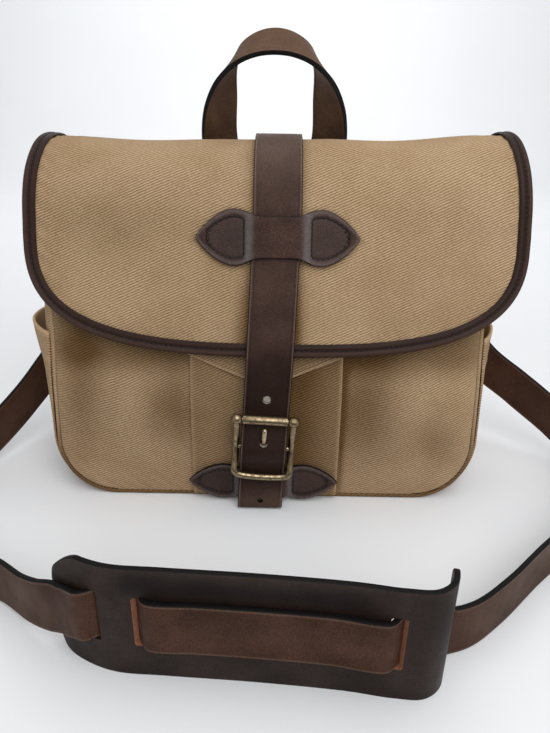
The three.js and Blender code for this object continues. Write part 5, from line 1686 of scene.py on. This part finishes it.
class FIELD_BAG_OT_buckle(bpy.types.Operator):
    """Make the buckle's frame, roller and prong, and the chape that holds it"""

    bl_idname = "field_bag.buckle"
    bl_label = "Buckle"

    def execute(self, context):
        self.chape(bag_sizes(context))
        self.piece("buckle_bars", join(self.bars()), "buckle_frame")
        self.piece("buckle_roller_tube", self.roller(), "buckle_roller")
        # The prong's brighter brass is partly a painted highlight
        self.piece("buckle_tongue", self.prong(), "buckle_prong", "bright_brass")
        return {"FINISHED"}

    def piece(self, name, shell, node, finish="antique_brass"):
        """A brass piece, leaned as the buckle is."""
        make_piece(name, lean(shell), finish, "brass", node)

    def prong(self):
        """Rod along the prong's line, thicker towards its tip."""
        line = smooth_line(stack(BUCKLE_X, PRONG_LINE["y"], PRONG_LINE["z"]), 60)
        thick = PRONG_RADIUS * mix(1.0, PRONG_SWELL, ease(0.3, 0.7, np.linspace(0, 1, len(line))))
        return rod(line, thick, (1, 0, 0))

    def bars(self):
        """Bent outer rod from ear to ear, the roller's bar, the centre bar and the two round ears."""
        y = np.array([ROLLER_Y, SHOULDER_Y, CENTRE_Y, (CENTRE_Y + BOTTOM_Y) / 2, BOTTOM_Y, BOTTOM_Y])
        z = np.array([ROLLER_Z, SHOULDER_Z, CENTRE_Z, BELLY_Z, BOTTOM_Z + BUCKLE_CORNER, BOTTOM_Z])
        inward = np.array([0, 0, 0, 0, 0, BUCKLE_CORNER])
        left = stack(BUCKLE_X - BUCKLE_HALF_WIDTH + inward, y, z)
        right = stack(BUCKLE_X + BUCKLE_HALF_WIDTH - inward, y, z)[::-1]
        outer = smooth_line(np.concatenate([left, right]), 220)
        across = BUCKLE_X + np.linspace(-BUCKLE_HALF_WIDTH, BUCKLE_HALF_WIDTH, 24)
        roller_bar = stack(across, ROLLER_Y, ROLLER_Z)
        centre_bar = stack(across, CENTRE_Y, CENTRE_Z)
        rods = ((outer, ROD), (roller_bar, ROLLER_BAR), (centre_bar, CENTRE_BAR))
        made = [rod(line, radius, (0, 1, 0), sides=5) for line, radius in rods]
        for side in (-1, 1):
            x = BUCKLE_X + side * BUCKLE_HALF_WIDTH + np.linspace(-EAR_HALF, EAR_HALF, 3)
            made.append(rod(stack(x, ROLLER_Y, ROLLER_Z), EAR_RADIUS, (0, 0, 1), sides=7))
        return made

    def roller(self):
        """Tube with rolled ends: a closed profile of length and radius turned about the bar."""
        end = np.array([
            (ROLLER_HALF, ROLLER_BORE),
            (ROLLER_HALF, ROLLER_RADIUS - ROLLER_LIP),
            (ROLLER_HALF - 0.3 * ROLLER_LIP, ROLLER_RADIUS - 0.3 * ROLLER_LIP),
            (ROLLER_HALF - ROLLER_LIP, ROLLER_RADIUS),
        ])
        profile = np.concatenate([end * (-1, 1), end[::-1]])
        return ring(profile, np.array([BUCKLE_X, ROLLER_Y, ROLLER_Z]), 40)

    def chape(self, sizes):
        """Leather strip folded round the centre bar, carried across, with a slit for the prong."""
        line = smooth_line(points_of(CHAPE_LINE, "y", "z"), 90)
        x = BUCKLE_X + np.linspace(-1, 1, 13) * (CHAPE_HALF_WIDTH - 0.5)
        middle = stack(x[None, :], line[:, :1], line[:, 1:])
        uv = flat_uv(lengths(line)[:, None], x)
        shell = slab(middle, sizes.chape_leather / 2, uv, **KEEPER_RIM, wear=0.1, soil=0.3)
        chape = make_mesh("chape_leather", lean(shell), "strap_leather")
        slit = rod(stack(BUCKLE_X, np.linspace(*SLIT_REACH, 3), SLIT_Z), SLIT_RADIUS, (1, 0, 0))
        tall = slit.points + np.sign(slit.points[:, 2:] - SLIT_Z) * (0, 0, SLIT_STRETCH)
        cut(chape, [make_mesh("slit", lean(slit._replace(points=tall)), "strap_leather")])
        settle(chape, "leather", "buckle_chape")


# Handle and stitches


def handle_rims():
    """Front and back rim of the handle from end to end."""
    half = [points_of(HANDLE, *(rim + axis for axis in "xyz")) for rim in "fb"]
    rims = [np.concatenate([h, h[-2::-1] * (-1, 1, 1)]) + (HANDLE_SHIFT, 0, 0) for h in half]
    u = np.linspace(0, 1, 241)
    return [curve(rim, u) for rim in rims]


class FIELD_BAG_OT_handle(bpy.types.Operator):
    """Make the top handle"""

    bl_idname = "field_bag.handle"
    bl_label = "Handle"

    def execute(self, context):
        """Straight rulings from the front rim to the back rim, creased along both."""
        sizes = bag_sizes(context)
        fore, rear = handle_rims()
        across = np.linspace(0.03, 0.97, 25)[None, :]
        middle = mix(fore[:, None], rear[:, None], across[..., None])
        run = lengths(middle[:, 12])[:, None]
        from_crown = np.abs(run - run[-1] / 2)
        uv = flat_uv(run, across * HANDLE_SPREAD)
        crease = bump(np.abs(across - 0.5) - 0.4, 0.02) + 0 * run
        half = sizes.handle_leather / 2 - 0.25 * crease
        # Painted top light over the crown; painted shade down the legs and in the creases
        crown = ease(90, 20, from_crown) + 0 * across
        low = np.clip(ease(60, 110, from_crown) + 0.5 * crease, 0, 1)
        shell = slab(middle, half, uv, square=4, edge=0.45, wear=0.35 * crown, soil=0.5 * low)
        make_piece("handle_leather_loop", shell, "handle_leather", "leather", "handle")
        return {"FINISHED"}


class FIELD_BAG_OT_stitching(bpy.types.Operator):
    """Make the rows of stitches in leather and in canvas"""

    bl_idname = "field_bag.stitching"
    bl_label = "Stitching"

    def execute(self, context):
        sizes = bag_sizes(context)
        dark = [self.binding(sizes), *self.lobes(sizes), *self.back(sizes)]
        make_piece("leather_stitches", join(dark), "dark_thread", "leather")
        pale = [*self.pocket_hems(sizes), self.point_hem(sizes)]
        make_piece("canvas_stitches", join(pale), "pale_thread", "canvas")
        return {"FINISHED"}

    def binding(self, sizes):
        """Row in the binding's groove."""
        edge, out, up = binding_frame(900, sizes)
        groove = edge + out * BINDING_GROOVE[0] + up * BINDING_GROOVE[1]
        return seam(groove, up, sizes.stitch_pitch, sizes.thread)

    def lobes(self, sizes):
        """Closed rows in the lobes of the keeper and of the buckle patch."""
        top = sizes.keeper_leather - LOBE_DISH
        for face, tall in ((keeper_face, 1.0), (patch_face, PATCH_TALL)):
            for side in (-1, 1):
                line, normal = face_line(face, *lobe_line(side, tall).T, top, sizes)
                yield seam(line, normal, sizes.stitch_pitch, LOBE_THREAD * sizes.thread)

    def back(self, sizes):
        """Boxes that hold the shoulder strap's ends and the handle's ends on the back."""
        top = sizes.strap_leather + 2 * GAP
        out, up, wide, tall = STRAP_BOX
        for side in (-1, 1):
            x, z = side * (STRAP_SEWN["x"][0] + out), STRAP_SEWN["z"][0] + up
            yield self.box(x, z, wide, tall, lambda x, z: back_y(x, z) + top, sizes)
        out, up, wide, tall = HANDLE_BOX
        fore, rear = handle_rims()
        for end in (0, -1):
            x, y, z = (fore[end] + rear[end]) / 2 + (out, sizes.handle_leather / 2, up)
            yield self.box(x, z, wide, tall, lambda x, z, y=y: np.full_like(x, y), sizes)

    def box(self, x, z, wide, tall, face, sizes):
        """Rectangle of stitches with a cross in it."""
        round_x = np.array([-1, 1, 1, -1, -1, 1, 1, -1]) * wide + x
        round_z = np.array([-1, -1, 1, 1, -1, 1, -1, 1]) * tall + z
        line = even(np.stack([round_x, round_z], axis=1), 400)
        places = stack(line[:, 0], face(line[:, 0], line[:, 1]), line[:, 1])
        return seam(places, np.array([0.0, 1.0, 0.0]), BOX_PITCH, sizes.thread)

    def pocket_hems(self, sizes):
        """Two rows in the hem of each side pocket."""
        across = np.linspace(-0.97, 0.97, 200) * POCKET_EDGE
        top = sizes.pocket_canvas * HEM_TOP
        for side in POCKET_GAPE:
            for row in HEM_ROWS:
                share = np.full_like(across, row * POCKET_HEM)
                line, normal = face_line(pocket_face, across, share, top, side, sizes)
                yield seam(line, normal, sizes.hem_pitch, HEM_THREAD * sizes.thread)

    def point_hem(self, sizes):
        """Row along the edge of the pointed flap."""
        share = np.linspace(-0.96, 0.96, 300)
        line = point_face(share, np.full_like(share, POINT_ROW), sizes.point_canvas)
        return seam(line, np.array([0.0, -1.0, 0.0]), sizes.hem_pitch, POINT_THREAD * sizes.thread)


# Add-on

OPERATORS = (
    FIELD_BAG_OT_materials,
    FIELD_BAG_OT_stage,
    FIELD_BAG_OT_shoulder_pad,
    FIELD_BAG_OT_shoulder_strap,
    FIELD_BAG_OT_body,
    FIELD_BAG_OT_piping,
    FIELD_BAG_OT_front_pocket,
    FIELD_BAG_OT_side_pockets,
    FIELD_BAG_OT_flap,
    FIELD_BAG_OT_binding,
    FIELD_BAG_OT_closure_strap,
    FIELD_BAG_OT_keepers,
    FIELD_BAG_OT_buckle,
    FIELD_BAG_OT_handle,
    FIELD_BAG_OT_stitching,
)


class FIELD_BAG_PT_panel(bpy.types.Panel):
    """Settings of the field bag and the steps that build it"""

    bl_idname = "FIELD_BAG_PT_panel"
    bl_label = "Field bag"
    bl_space_type = "VIEW_3D"
    bl_region_type = "UI"
    bl_category = "Field bag"

    def draw(self, context):
        """Lists the settings and the steps."""
        layout = self.layout
        for held in (context.scene.field_bag_sizes, context.scene.field_bag_colours):
            for key in held.__annotations__:
                layout.prop(held, key)
        for operator in OPERATORS:
            layout.operator(operator.bl_idname)


CLASSES = (FieldBagSizes, FieldBagColours, *OPERATORS, FIELD_BAG_PT_panel)


def register():
    """Registers the classes and hangs the settings on the scene."""
    for cls in CLASSES:
        bpy.utils.register_class(cls)
    bpy.types.Scene.field_bag_sizes = PointerProperty(type=FieldBagSizes)
    bpy.types.Scene.field_bag_colours = PointerProperty(type=FieldBagColours)


def unregister():
    """Takes the settings and the classes away again."""
    del bpy.types.Scene.field_bag_sizes
    del bpy.types.Scene.field_bag_colours
    for cls in reversed(CLASSES):
        bpy.utils.unregister_class(cls)


def main():
    """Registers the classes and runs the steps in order."""
    register()
    steps = bpy.ops.field_bag
    steps.materials()
    steps.stage()
    steps.shoulder_pad()
    steps.shoulder_strap()
    steps.body()
    steps.piping()
    steps.front_pocket()
    steps.side_pockets()
    steps.flap()
    steps.binding()
    steps.closure_strap()
    steps.keepers()
    steps.buckle()
    steps.handle()
    steps.stitching()


if __name__ == "__main__":
    main()
